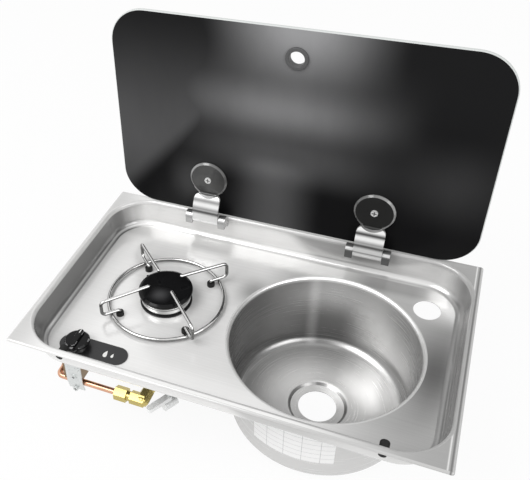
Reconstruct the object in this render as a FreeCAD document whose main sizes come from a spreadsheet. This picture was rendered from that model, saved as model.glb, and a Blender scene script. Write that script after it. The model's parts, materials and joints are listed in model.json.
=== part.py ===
import FreeCAD, Part
import math
import os
import Sketcher

# Drop-in hob and sink unit with a hinged glass lid, shown with the lid standing open.
# Frame: origin at the centre of the flange's top face, +X to the right, +Y to the back, +Z up.

document = FreeCAD.newDocument("hob_and_sink")
dims = document.addObject("Spreadsheet::Sheet", "dims")

DRIVING_SIZES = {
    # Pan and flange
    "pan_length": 504.0,
    "pan_width": 305.0,
    "pan_corner": 56.0,
    "pan_depth": 37.5,
    "pan_inset": 5.5,
    "pan_blend": 10.5,
    "border_side": 8.0,
    "border_front": 10.0,
    "flange_corner": 3.0,
    "flange_lip": 2.7,
    "flange_edge": 2.6,
    "sheet": 0.8,
    "rim_round": 4.5,
    # Bowl and drain
    "bowl_front_margin": 28.4,
    "bowl_back_margin": 31.0,
    "bowl_side_margin": 35.2,
    "bowl_seat_width": 6.0,
    "bowl_lip_width": 4.7,
    "bowl_wall_inset": 2.45,
    "bowl_depth": 117.8,
    "bowl_corner": 17.3,
    "bowl_roll": 4.5,
    "bowl_dish": 2.5,
    "drain_seat": 39.5,
    "drain_slope": 4.0,
    "drain_recess": 3.5,
    "drain_hole": 25.3,
    "weld_gap": 0.05,
    # Tap hole
    "faucet_side_margin": 48.6,
    "faucet_back_margin": 53.9,
    "faucet_hole": 17.2,
    # Lid
    "lid_side_margin": 12.75,
    "lid_short_of_width": 30.3,
    "lid_corner": 49.0,
    "lid_thick": 5.0,
    "lid_setback": 1.9,
    "lid_gap": 1.7,
    "lid_bevel": 1.2,
    "finger_drop": 37.8,
    "finger_hole": 12.0,
    "grommet_bore": 9.5,
    "grommet_rim": 14.5,
    "grommet_lip": 2.5,
    # Hinges
    "hinge_x": 115.0,
    "hinge_forward": 11.5,
    "hinge_z": 0.5,
    "hinge_width": 58.8,
    "barrel_radius": 8.0,
    "pin_radius": 2.5,
    "pin_fit": 0.03,
    "arm_width": 38.0,
    "ear_gap": 0.4,
    "ear_drop": 8.4,
    "plate_top": 7.9,
    "plate_foot": 13.0,
    "plate_thick": 2.5,
    "leaf_radius": 53.4,
    "leaf_thick": 3.0,
    "leaf_height": 36.0,
    "leaf_corner": 6.0,
    "leaf_roll": 2.4,
    "neck_width": 28.0,
    "neck_root": 3.0,
    "shoulder_width": 42.0,
    "shoulder_drop": 16.0,
    "neck_taper": 8.0,
    "disc_radius": 27.0,
    "disc_thick": 3.2,
    "disc_bevel": 2.0,
    "disc_bevel_width": 2.5,
    "disc_z": 60.0,
    "pad_thick": 1.0,
    "cap_radius": 24.0,
    "cap_thick": 3.0,
    "cap_boss": 4.6,
    "glass_hole": 5.0,
    "disc_screw_head": 4.6,
    "disc_screw_rise": 1.8,
    "disc_screw_radius": 2.0,
    "thread_gap": 0.05,
    # Burner
    "burner_side_margin": 131.5,
    "burner_front_margin": 154.5,
    "burner_hole": 24.0,
    "collar_radius": 34.7,
    "collar_step": 1.6,
    "collar_neck": 31.3,
    "collar_bore": 26.5,
    "collar_height": 4.0,
    "cup_flange": 35.0,
    "cup_flange_thick": 3.0,
    "cup_radius": 25.5,
    "cup_bore": 23.5,
    "cup_height": 18.0,
    "cup_floor": 3.0,
    "cup_hole": 4.6,
    "burner_screw_ring": 28.9,
    "burner_screw_radius": 1.4,
    "burner_screw_head": 2.6,
    "crown_spigot": 26.1,
    "crown_spigot_length": 3.6,
    "crown_waist": 32.2,
    "crown_waist_height": 1.0,
    "crown_radius": 33.1,
    "crown_slope": 1.0,
    "crown_height": 13.0,
    "crown_bore": 22.0,
    "port_width": 1.8,
    "port_depth": 4.0,
    "port_count": 24,
    "burner_cap_radius": 36.0,
    "burner_cap_edge": 3.0,
    "burner_cap_rise": 4.6,
    "burner_cap_crown": 5.2,
    "burner_cap_flat": 32.6,
    "cap_rib_outer": 21.6,
    "cap_rib_inner": 18.0,
    "cap_rib_depth": 3.0,
    "cap_hollow": 1.5,
    "holder_radius": 9.0,
    "holder_height": 14.0,
    "holder_bore_depth": 6.0,
    "injector_radius": 4.0,
    "injector_rise": 9.0,
    "injector_jet": 0.6,
    "probe_ring": 40.5,
    "probe_angle": 150.0,
    "probe_radius": 2.0,
    "probe_top": 14.5,
    "probe_drop": 11.0,
    "probe_hole": 2.2,
    "probe_nut": 5.0,
    "probe_nut_height": 4.0,
    "lead_radius": 1.1,
    "lead_bend": 5.0,
    # Trivet
    "wire_radius": 2.25,
    "foot_radius": 5.2,
    "foot_height": 6.0,
    "foot_bore_depth": 4.5,
    "foot_round": 1.2,
    "arm_level": 8.5,
    "arm_reach": 89.3,
    "arm_overhang": 12.6,
    "foot_inset": 24.0,
    "arm_top": 30.6,
    "tip_ring": 23.5,
    "tip_rise": 33.2,
    "arm_bend": 6.0,
    "foot_bend": 2.4,
    "weld_sink": 0.4,
    # Control plate, knob and gas tap
    "knob_side_margin": 59.9,
    "knob_front_margin": 39.4,
    "control_half_width": 13.9,
    "control_shift": 1.5,
    "control_left": 25.5,
    "control_right": 67.3,
    "control_thick": 1.5,
    "bezel_radius": 11.2,
    "bezel_height": 2.0,
    "knob_push": 2.5,
    "knob_gap": 0.4,
    "knob_foot": 11.8,
    "knob_foot_height": 1.0,
    "knob_body": 16.2,
    "knob_flare": 1.8,
    "knob_body_height": 7.2,
    "knob_height": 10.5,
    "grip_width": 8.5,
    "grip_length": 29.6,
    "knob_round": 1.4,
    "spindle_radius": 4.0,
    "spindle_hole": 5.0,
    "spindle_fit": 0.05,
    "spindle_engage": 6.0,
    "plug_radius": 6.0,
    "plug_top": 10.0,
    "plug_length": 18.0,
    "plug_socket": 12.0,
    "spindle_in_plug": 6.5,
    "tap_neck": 8.0,
    "tap_block_top": 10.0,
    "tap_block_height": 27.5,
    "tap_block_width": 24.0,
    "tap_block_front": 22.9,
    "tap_block_back": 14.0,
    "port_boss": 6.5,
    "port_boss_length": 8.0,
    "inlet_boss_length": 2.6,
    "magnet_radius": 7.5,
    "magnet_length": 13.0,
    "magnet_drop": 27.2,
    "bracket_shift": 3.0,
    "bracket_width": 21.8,
    "bracket_thick": 1.6,
    "bracket_flange": 14.0,
    "bracket_bend_drop": 41.0,
    "bracket_foot_drop": 54.6,
    "bracket_kick": 2.6,
    "bracket_screw_head": 3.6,
    "bracket_screw_rise": 2.0,
    "bracket_screw_radius": 2.0,
    "bracket_screw_high": 28.5,
    "bracket_screw_low": 50.9,
    # Gas pipes and fittings
    "supply_radius": 4.0,
    "supply_wall": 0.8,
    "supply_setback": 5.0,
    "supply_drop": 43.0,
    "supply_overrun": 24.7,
    "supply_bend": 6.0,
    "pipe_fit": 0.05,
    "inlet_drop": 30.0,
    "elbow_run": 94.3,
    "elbow_hex": 8.6,
    "elbow_knee": 7.9,
    "elbow_overlap": 3.0,
    "elbow_leg": 16.0,
    "elbow_back_leg": 14.5,
    "elbow_neck": 6.3,
    "elbow_neck_length": 5.0,
    "elbow_bore": 3.0,
    "socket_depth": 8.0,
    "nut_hex": 9.4,
    "nut_length": 16.0,
    "feed_radius": 3.0,
    "feed_wall": 0.6,
    "feed_drop": 25.6,
    "feed_bend": 20.0,
    "feed_nut_hex": 7.0,
    "feed_nut_length": 9.0,
    "pipe_socket": 6.0,
    # Clamp and front plugs
    "clamp_side_margin": 184.9,
    "clamp_front_margin": 32.7,
    "clamp_angle": -120.0,
    "stud_radius": 2.5,
    "stud_length": 54.5,
    "stud_base": 5.0,
    "stud_base_height": 2.0,
    "clamp_bar_width": 8.0,
    "clamp_bar_thick": 6.0,
    "clamp_bar_reach": 32.6,
    "clamp_bar_drop": 33.1,
    "clamp_fit": 0.05,
    "barrel_nut_radius": 7.0,
    "barrel_nut_length": 18.5,
    "barrel_nut_gap": 0.3,
    "front_plug_margin": 62.0,
    "front_plug_drop": 9.5,
    "front_plug_fit": 0.1,
    "front_plug_neck": 4.2,
    "front_plug_head": 5.4,
    "front_plug_reach": 10.5,
    "front_plug_tail": 4.8,
    "front_plug_tail_reach": 5.5,
    "front_plug_gap": 0.4,
}

for row, (alias, value) in enumerate(DRIVING_SIZES.items(), start=1):
    dims.set(f"A{row}", alias)
    dims.set(f"B{row}", str(value))
    dims.setAlias(f"B{row}", alias)
document.recompute()

SUBPARTS = []
ORIGIN = ("0", "0", "0")
TOLERANCE = 0.001
TURNS = {
    "x": FreeCAD.Rotation(FreeCAD.Vector(0, 1, 0), 90),
    "y": FreeCAD.Rotation(FreeCAD.Vector(1, 0, 0), -90),
    "z": FreeCAD.Rotation(),
}
FLOOR = "(-dims.pan_depth)"
UNDER = "(-dims.pan_depth - dims.sheet)"
FLANGE_LENGTH = "(dims.pan_length + 2 * dims.border_side)"
FLANGE_WIDTH = "(dims.pan_width + 2 * dims.border_front)"
DRAFT = "atan(dims.pan_inset / dims.pan_depth)"
LEFT = "(-dims.pan_length / 2)"
RIGHT = "(dims.pan_length / 2)"
FRONT = "(-dims.pan_width / 2)"
BACK = "(dims.pan_width / 2)"
BOWL_RIM = "((dims.pan_width - dims.bowl_front_margin - dims.bowl_back_margin) / 2)"
BOWL_MOUTH = f"({BOWL_RIM} - dims.bowl_lip_width)"
BOWL_FOOT = f"({BOWL_MOUTH} - dims.bowl_wall_inset)"
BOWL_X = f"({RIGHT} - dims.bowl_side_margin - {BOWL_RIM})"
BOWL_Y = "((dims.bowl_front_margin - dims.bowl_back_margin) / 2)"
FAUCET_X = f"({RIGHT} - dims.faucet_side_margin)"
FAUCET_Y = f"({BACK} - dims.faucet_back_margin)"
LID_LENGTH = f"({FLANGE_LENGTH} - 2 * dims.lid_side_margin)"
LID_HEIGHT = f"({FLANGE_WIDTH} - dims.lid_short_of_width)"
LID_FACE = f"({BACK} + dims.lid_setback)"
FINGER_Z = f"(dims.lid_gap + {LID_HEIGHT} - dims.finger_drop)"
HINGE_Y = f"({BACK} - dims.hinge_forward)"
BURNER_X = f"({LEFT} + dims.burner_side_margin)"
BURNER_Y = f"({FRONT} + dims.burner_front_margin)"
KNOB_X = f"({LEFT} + dims.knob_side_margin)"
KNOB_Y = f"({FRONT} + dims.knob_front_margin)"
BRACKET_X = f"({KNOB_X} + dims.bracket_shift)"
SUPPLY_Y = f"({KNOB_Y} - dims.tap_block_front + dims.supply_setback)"
SUPPLY_Z = f"({UNDER} - dims.supply_drop)"
SUPPLY_LEFT = f"({KNOB_X} - dims.supply_overrun)"
ELBOW_X = f"({KNOB_X} + dims.elbow_run)"
CLAMP_X = f"({LEFT} + dims.clamp_side_margin)"
CLAMP_Y = f"({FRONT} + dims.clamp_front_margin)"
FRONT_PLUG_X = f"({RIGHT} - dims.front_plug_margin)"
FRONT_PLUG_BORE = f"((dims.front_plug_neck + dims.front_plug_fit) / cos({DRAFT}) + dims.sheet)"


def size(text):
    """The number that an expression on the sheet gives."""
    return float(dims.evalExpression(text))


def near(first, second):
    return abs(first - second) < TOLERANCE


def wall_y(drop):
    """Inner face of the pan's back wall at a depth below the flange."""
    return f"(dims.pan_width / 2 - ({drop}) * dims.pan_inset / dims.pan_depth)"


def keep(piece, label):
    piece.Label = label
    SUBPARTS.append(piece)
    return piece


def place(piece, at):
    for axis, text in zip("xyz", at):
        piece.setExpression(f"Placement.Base.{axis}", text)
    return piece


# Plain solids and booleans

def primitive(kind, sizes, at, axis="z"):
    piece = document.addObject("Part::" + kind, kind.lower())
    piece.Placement = FreeCAD.Placement(FreeCAD.Vector(), TURNS[axis])
    for name, text in sizes.items():
        piece.setExpression(name, text)
    return place(piece, at)


def cylinder(radius, height, at, axis="z"):
    return primitive("Cylinder", {"Radius": radius, "Height": height}, at, axis)


def cone(first, second, height, at, axis="z"):
    sizes = {"Radius1": first, "Radius2": second, "Height": height}
    return primitive("Cone", sizes, at, axis)


def hexagon(circumradius, height, at, axis="z"):
    piece = primitive("Prism", {"Circumradius": circumradius, "Height": height}, at, axis)
    piece.Polygon = 6
    return piece


def box(length, width, height, at):
    return primitive("Box", {"Length": length, "Width": width, "Height": height}, at)


def fuse(pieces):
    joined = document.addObject("Part::MultiFuse", "joined")
    joined.Shapes = pieces
    joined.Refine = True
    return joined


def cut(base, tools):
    result = document.addObject("Part::Cut", "cut")
    result.Base = base
    result.Tool = tools[0] if len(tools) == 1 else fuse(tools)
    return result


def common(first, second):
    result = document.addObject("Part::MultiCommon", "common")
    result.Shapes = [first, second]
    return result


def group(pieces):
    bundle = document.addObject("Part::Compound", "group")
    bundle.Links = pieces
    return bundle


# Sketched bodies

def new_body(at=ORIGIN, turn=None, about=(0, 0, 1)):
    body = document.addObject("PartDesign::Body", "body")
    if turn:
        body.Placement.Rotation = FreeCAD.Rotation(FreeCAD.Vector(*about), 1)
        body.setExpression("Placement.Rotation.Angle", turn)
    return place(body, at)


def new_sketch(body, plane, offset=None):
    sketch = body.newObject("Sketcher::SketchObject", "sketch")
    base = next(item for item in body.Origin.OriginFeatures if item.Role == plane + "_Plane")
    sketch.AttachmentSupport = [(base, "")]
    sketch.MapMode = "FlatFace"
    if offset:
        sketch.setExpression("AttachmentOffset.Base.z", offset)
    return sketch


def bind(sketch, constraint, text):
    index = sketch.addConstraint(constraint)
    sketch.setExpression(f"Constraints[{index}]", text)


def pin_point(sketch, geometry, point, x, y):
    """Fixes one point of a sketch by its two coordinates."""
    bind(sketch, Sketcher.Constraint("DistanceX", -1, 1, geometry, point, size(x)), x)
    bind(sketch, Sketcher.Constraint("DistanceY", -1, 1, geometry, point, size(y)), y)


def polygon(body, plane, points, offset=None):
    sketch = new_sketch(body, plane, offset)
    corners = [FreeCAD.Vector(size(x), size(y), 0) for x, y in points]
    count = len(points)
    for index in range(count):
        sketch.addGeometry(Part.LineSegment(corners[index], corners[(index + 1) % count]), False)
    for index in range(count):
        sketch.addConstraint(Sketcher.Constraint("Coincident", index, 2, (index + 1) % count, 1))
    for index, (x, y) in enumerate(points):
        pin_point(sketch, index, 1, x, y)
    return sketch


def circles(body, plane, rings, offset=None):
    sketch = new_sketch(body, plane, offset)
    normal = FreeCAD.Vector(0, 0, 1)
    for index, (x, y, radius) in enumerate(rings):
        centre = FreeCAD.Vector(size(x), size(y), 0)
        sketch.addGeometry(Part.Circle(centre, normal, size(radius)), False)
        pin_point(sketch, index, 3, x, y)
        bind(sketch, Sketcher.Constraint("Radius", index, size(radius)), radius)
    return sketch


def rounded_rectangle(body, plane, low, high, corner, offset=None):
    """Rectangle between two corners with four equal round corners."""
    sketch = new_sketch(body, plane, offset)
    left, bottom = size(low[0]), size(low[1])
    right, top = size(high[0]), size(high[1])
    radius = size(corner)
    normal = FreeCAD.Vector(0, 0, 1)
    sides = [
        ((left + radius, bottom), (right - radius, bottom), (right - radius, bottom + radius), -90),
        ((right, bottom + radius), (right, top - radius), (right - radius, top - radius), 0),
        ((right - radius, top), (left + radius, top), (left + radius, top - radius), 90),
        ((left, top - radius), (left, bottom + radius), (left + radius, bottom + radius), 180),
    ]
    for start, end, centre, angle in sides:
        sketch.addGeometry(Part.LineSegment(FreeCAD.Vector(*start, 0), FreeCAD.Vector(*end, 0)), False)
        circle = Part.Circle(FreeCAD.Vector(*centre, 0), normal, radius)
        arc = Part.ArcOfCircle(circle, math.radians(angle), math.radians(angle + 90))
        sketch.addGeometry(arc, False)
    for index in range(8):
        sketch.addConstraint(Sketcher.Constraint("Tangent", index, 2, (index + 1) % 8, 1))
    for index in (0, 4):
        sketch.addConstraint(Sketcher.Constraint("Horizontal", index))
    for index in (2, 6):
        sketch.addConstraint(Sketcher.Constraint("Vertical", index))
    for index in (3, 5, 7):
        sketch.addConstraint(Sketcher.Constraint("Equal", 1, index))
    bind(sketch, Sketcher.Constraint("Radius", 1, radius), corner)
    bind(sketch, Sketcher.Constraint("DistanceY", -1, 1, 0, 1, bottom), low[1])
    bind(sketch, Sketcher.Constraint("DistanceX", -1, 1, 2, 1, right), high[0])
    bind(sketch, Sketcher.Constraint("DistanceY", -1, 1, 4, 1, top), high[1])
    bind(sketch, Sketcher.Constraint("DistanceX", -1, 1, 6, 1, left), low[0])
    return sketch


def centred_rectangle(body, length, width, corner, offset=None):
    low = (f"-({length}) / 2", f"-({width}) / 2")
    high = (f"({length}) / 2", f"({width}) / 2")
    return rounded_rectangle(body, "XY", low, high, corner, offset)


def extrude(body, kind, sketch, length, reverse=False, middle=False, taper=None):
    feature = body.newObject("PartDesign::" + kind, kind.lower())
    feature.Profile = sketch
    feature.Reversed = reverse
    feature.Midplane = middle
    feature.setExpression("Length", length)
    if taper:
        feature.setExpression("TaperAngle", taper)
    document.recompute()
    return feature


def pad(body, sketch, length, **options):
    return extrude(body, "Pad", sketch, length, **options)


def pocket(body, sketch, length, **options):
    """Cuts a sketch into the body, which has to lose volume by it."""
    before = body.Shape.Volume
    feature = extrude(body, "Pocket", sketch, length, **options)
    if body.Shape.Volume > before - TOLERANCE:
        raise ValueError("a pocket cut nothing from " + body.Name)
    return feature


def revolve(body, plane, points, axis="V_Axis"):
    sketch = polygon(body, plane, points)
    feature = body.newObject("PartDesign::Revolution", "revolution")
    feature.Profile = sketch
    feature.ReferenceAxis = (sketch, [axis])
    feature.Angle = 360
    document.recompute()
    return feature


def dress(body, kind, size_name, amount, wanted):
    """Rounds or bevels each edge of the body's last feature that is wanted."""
    base = body.Tip
    names = [f"Edge{index}" for index, edge in enumerate(base.Shape.Edges, start=1) if wanted(edge)]
    if not names:
        raise ValueError("no edge to dress on " + body.Name)
    feature = body.newObject("PartDesign::" + kind, kind.lower())
    feature.Base = (base, names)
    feature.setExpression(size_name, amount)
    document.recompute()
    return feature


def round_edges(body, radius, wanted):
    return dress(body, "Fillet", "Radius", radius, wanted)


def bevel_edges(body, width, wanted):
    return dress(body, "Chamfer", "Size", width, wanted)


def level(edge, z):
    """True for an edge that lies in a horizontal plane."""
    return near(edge.BoundBox.ZMin, z) and near(edge.BoundBox.ZMax, z)


def ring_edge(edge, radius, centre):
    """True for a circular edge of this radius about this centre."""
    curve = edge.Curve
    if not hasattr(curve, "Radius") or not near(curve.Radius, radius):
        return False
    return curve.Center.distanceToPoint(centre) < TOLERANCE


# Tubes and wires along straight runs joined by tangent arcs

def route_wire(points, bend):
    edges = []
    start = points[0]
    for before, corner, after in zip(points, points[1:], points[2:]):
        arriving = (corner - before).normalize()
        leaving = (after - corner).normalize()
        turn = arriving.getAngle(leaving)
        setback = bend * math.tan(turn / 2)
        inward = (leaving - arriving).normalize()
        centre = corner + inward * (bend / math.cos(turn / 2))
        arc_start = corner - arriving * setback
        arc_end = corner + leaving * setback
        edges.append(Part.LineSegment(start, arc_start).toShape())
        edges.append(Part.Arc(arc_start, centre - inward * bend, arc_end).toShape())
        start = arc_end
    edges.append(Part.LineSegment(start, points[-1]).toShape())
    return Part.Wire(edges)


def round_bar(points, bend, radius):
    wire = route_wire(points, bend)
    section = Part.Wire(Part.Circle(points[0], points[1] - points[0], radius).toShape())
    solid = wire.makePipeShell([section], True, False)
    expected = math.pi * radius ** 2 * wire.Length
    if abs(solid.Volume / expected - 1) > 0.01:
        raise ValueError("a bar has lost its section along the route")
    return solid


def route_points(route):
    return [FreeCAD.Vector(*(size(text) for text in point)) for point in route]


def tube(route, bend, radius, wall):
    """A bent pipe: an outer bar with a bore along the same route."""
    points = route_points(route)
    outer = round_bar(points, size(bend), size(radius))
    bore = round_bar(points, size(bend), size(radius) - size(wall))
    piece = document.addObject("Part::Feature", "tube")
    piece.Shape = outer.cut(bore)
    return piece


def rod(route, bend, radius):
    piece = document.addObject("Part::Feature", "rod")
    piece.Shape = round_bar(route_points(route), size(bend), size(radius))
    return piece


# Pan: turned-down flange, drafted tub and the holes in its floor and walls

PLUG_FACE = "(dims.pan_width / 2 - dims.front_plug_drop * dims.pan_inset / dims.pan_depth)"
PROBE_X = f"({BURNER_X} + dims.probe_ring * cos(dims.probe_angle * 1 deg))"
PROBE_Y = f"({BURNER_Y} + dims.probe_ring * sin(dims.probe_angle * 1 deg))"
BURNER_SCREW_ANGLES = (90, 210, 330)
BURNER_SCREW_BITE = "(dims.collar_height * 0.75)"


def burner_screw_place(angle):
    x = f"({BURNER_X} + dims.burner_screw_ring * cos({angle} deg))"
    y = f"({BURNER_Y} + dims.burner_screw_ring * sin({angle} deg))"
    return x, y


def make_pan():
    body = new_body()
    taper = f"-{DRAFT}"
    flange = centred_rectangle(body, FLANGE_LENGTH, FLANGE_WIDTH, "dims.flange_corner")
    pad(body, flange, "dims.flange_lip", reverse=True)
    round_edges(body, "dims.flange_edge", lambda edge: level(edge, 0))
    hollow = centred_rectangle(
        body,
        f"{FLANGE_LENGTH} - 2 * dims.sheet",
        f"{FLANGE_WIDTH} - 2 * dims.sheet",
        "dims.flange_corner - dims.sheet",
        "-dims.flange_lip",
    )
    pocket(body, hollow, "dims.flange_lip - dims.sheet", reverse=True)
    sheet = size("dims.sheet")
    round_edges(body, "dims.flange_edge - dims.sheet", lambda edge: level(edge, -sheet))
    outside = centred_rectangle(
        body,
        "dims.pan_length + 2 * dims.sheet",
        "dims.pan_width + 2 * dims.sheet",
        "dims.pan_corner + dims.sheet",
    )
    pad(body, outside, "dims.pan_depth + dims.sheet", reverse=True, taper=taper)
    inside = centred_rectangle(body, "dims.pan_length", "dims.pan_width", "dims.pan_corner")
    pocket(body, inside, "dims.pan_depth", taper=taper)
    floor = size(FLOOR)
    under = size(UNDER)
    half_length = size("dims.pan_length / 2") + sheet + TOLERANCE

    def inside_pan(edge):
        return max(abs(edge.BoundBox.XMin), abs(edge.BoundBox.XMax)) < half_length

    round_edges(body, "dims.pan_blend + dims.sheet", lambda edge: level(edge, under))
    round_edges(body, "dims.pan_blend", lambda edge: level(edge, floor))
    round_edges(body, "dims.rim_round - dims.sheet",
                lambda edge: level(edge, -sheet) and inside_pan(edge))
    round_edges(body, "dims.rim_round", lambda edge: level(edge, 0) and inside_pan(edge))
    floor_holes = [
        (BOWL_X, BOWL_Y, BOWL_RIM),
        (BURNER_X, BURNER_Y, "dims.burner_hole"),
        (FAUCET_X, FAUCET_Y, "dims.faucet_hole"),
        (KNOB_X, KNOB_Y, "dims.spindle_hole"),
        (PROBE_X, PROBE_Y, "dims.probe_hole"),
    ]
    for angle in BURNER_SCREW_ANGLES:
        floor_holes.append((*burner_screw_place(angle), "dims.burner_screw_radius + dims.thread_gap"))
    pocket(body, circles(body, "XY", floor_holes), "dims.pan_depth + 2 * dims.sheet")
    plug_holes = [
        (f"{side} * {FRONT_PLUG_X}", "-dims.front_plug_drop", FRONT_PLUG_BORE)
        for side in (-1, 1)
    ]
    front = circles(body, "XZ", plug_holes, f"{PLUG_FACE} - {FRONT_PLUG_BORE}")
    pocket(body, front, f"2 * {FRONT_PLUG_BORE}", reverse=True)
    keep(body, "pan")


def make_bowl():
    body = new_body((BOWL_X, BOWL_Y, FLOOR))
    rim = f"{BOWL_RIM} - dims.weld_gap"
    dish = "(-dims.bowl_depth - dims.bowl_dish)"
    recess = f"({dish} - dims.drain_recess)"
    step = "(dims.drain_seat - dims.drain_slope)"
    revolve(body, "XZ", [
        (f"{BOWL_RIM} + dims.bowl_seat_width", "-dims.sheet"),
        (rim, "-dims.sheet"),
        (rim, "0"),
        (BOWL_MOUTH, "0"),
        (BOWL_FOOT, "-dims.bowl_depth"),
        ("dims.drain_seat", dish),
        (step, recess),
        ("dims.drain_hole", recess),
        ("dims.drain_hole", f"{recess} - dims.sheet"),
        (f"{step} + dims.sheet", f"{recess} - dims.sheet"),
        ("dims.drain_seat + dims.sheet", f"{dish} - dims.sheet"),
        (f"{BOWL_FOOT} + dims.sheet", "-dims.bowl_depth - dims.sheet"),
        (f"{BOWL_MOUTH} + dims.sheet", "-2 * dims.sheet"),
        (f"{BOWL_RIM} + dims.bowl_seat_width", "-2 * dims.sheet"),
    ])

    def round_ring(radius, radius_text, z_text):
        centre = FreeCAD.Vector(0, 0, size(z_text))
        round_edges(body, radius, lambda edge: ring_edge(edge, size(radius_text), centre))

    round_ring("dims.bowl_corner + dims.sheet", f"{BOWL_FOOT} + dims.sheet",
               "-dims.bowl_depth - dims.sheet")
    round_ring("dims.bowl_corner", BOWL_FOOT, "-dims.bowl_depth")
    round_ring("dims.bowl_roll - dims.sheet", f"{BOWL_MOUTH} + dims.sheet", "-2 * dims.sheet")
    round_ring("dims.bowl_roll", BOWL_MOUTH, "0")
    round_ring("dims.drain_slope - dims.sheet", "dims.drain_seat", dish)
    keep(body, "bowl")


# Lid: glass plate, finger grommet and the outer hinge caps

LID_BACK = f"({LID_FACE} + dims.lid_thick)"
NECK_BACK = f"({LID_FACE} - dims.pad_thick)"
NECK_FRONT = f"({LID_FACE} - dims.pad_thick - dims.disc_thick)"


def make_glass():
    body = new_body()
    low = (f"-{LID_LENGTH} / 2", "dims.lid_gap")
    high = (f"{LID_LENGTH} / 2", f"dims.lid_gap + {LID_HEIGHT}")
    outline = rounded_rectangle(body, "XZ", low, high, "dims.lid_corner", f"-{LID_FACE}")
    pad(body, outline, "dims.lid_thick", reverse=True)
    bevel_edges(body, "dims.lid_bevel",
                lambda edge: near(edge.BoundBox.YMin, edge.BoundBox.YMax))
    holes = [("0", FINGER_Z, "dims.finger_hole")]
    for side in (-1, 1):
        holes.append((f"{side} * dims.hinge_x", "dims.disc_z", "dims.glass_hole"))
    pocket(body, circles(body, "XZ", holes, f"-{LID_FACE}"), "dims.lid_thick")
    keep(body, "glass_lid")


def make_grommet():
    body = new_body(("0", LID_FACE, FINGER_Z))
    neck = "dims.finger_hole - dims.thread_gap"
    far = "(dims.lid_thick + dims.grommet_lip)"
    revolve(body, "XY", [
        ("dims.grommet_bore", "-dims.grommet_lip"),
        ("dims.grommet_rim", "-dims.grommet_lip"),
        ("dims.grommet_rim", "0"),
        (neck, "0"),
        (neck, "dims.lid_thick"),
        ("dims.grommet_rim", "dims.lid_thick"),
        ("dims.grommet_rim", far),
        ("dims.grommet_bore", far),
    ])
    ends = (-size("dims.grommet_lip"), size(far))
    round_edges(body, "dims.grommet_lip / 2",
                lambda edge: any(near(edge.BoundBox.YMin, y) and near(edge.BoundBox.YMax, y) for y in ends))
    keep(body, "finger_grommet")


def make_hinge_base(side, name):
    body = new_body((f"{side} * dims.hinge_x", "0", "0"))
    front = f"({HINGE_Y} - dims.barrel_radius)"
    plate_front = f"({wall_y('dims.plate_foot')} - dims.plate_thick)"
    plate = polygon(body, "YZ", [
        (wall_y("dims.plate_top"), "-dims.plate_top"),
        (wall_y("dims.plate_foot"), "-dims.plate_foot"),
        (plate_front, "-dims.plate_foot"),
        (plate_front, "-dims.plate_top"),
    ])
    pad(body, plate, "dims.hinge_width", middle=True)
    ears = polygon(body, "YZ", [
        (front, "dims.hinge_z"),
        (front, "-dims.ear_drop"),
        (wall_y("dims.ear_drop"), "-dims.ear_drop"),
        (wall_y("dims.plate_top"), "-dims.plate_top"),
        (f"{HINGE_Y} + dims.barrel_radius", "dims.hinge_z"),
    ])
    pad(body, ears, "dims.hinge_width", middle=True)
    barrel = circles(body, "YZ", [(HINGE_Y, "dims.hinge_z", "dims.barrel_radius")])
    pad(body, barrel, "dims.hinge_width", middle=True)
    reach = "dims.barrel_radius + dims.plate_thick"
    slot_front = f"({HINGE_Y} - ({reach}))"
    slot_top = f"(dims.hinge_z + {reach})"
    slot_back = f"({wall_y('dims.plate_top')} + dims.plate_thick)"
    slot = polygon(body, "YZ", [
        (slot_front, slot_top),
        (slot_front, "-dims.plate_foot"),
        (plate_front, "-dims.plate_foot"),
        (plate_front, "-dims.plate_top"),
        (slot_back, "-dims.plate_top"),
        (slot_back, slot_top),
    ])
    pocket(body, slot, "dims.arm_width + 2 * dims.ear_gap", middle=True)
    bore = circles(body, "YZ", [(HINGE_Y, "dims.hinge_z", "dims.pin_radius + dims.pin_fit")])
    pocket(body, bore, "dims.hinge_width", middle=True)
    keep(body, name)


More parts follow.
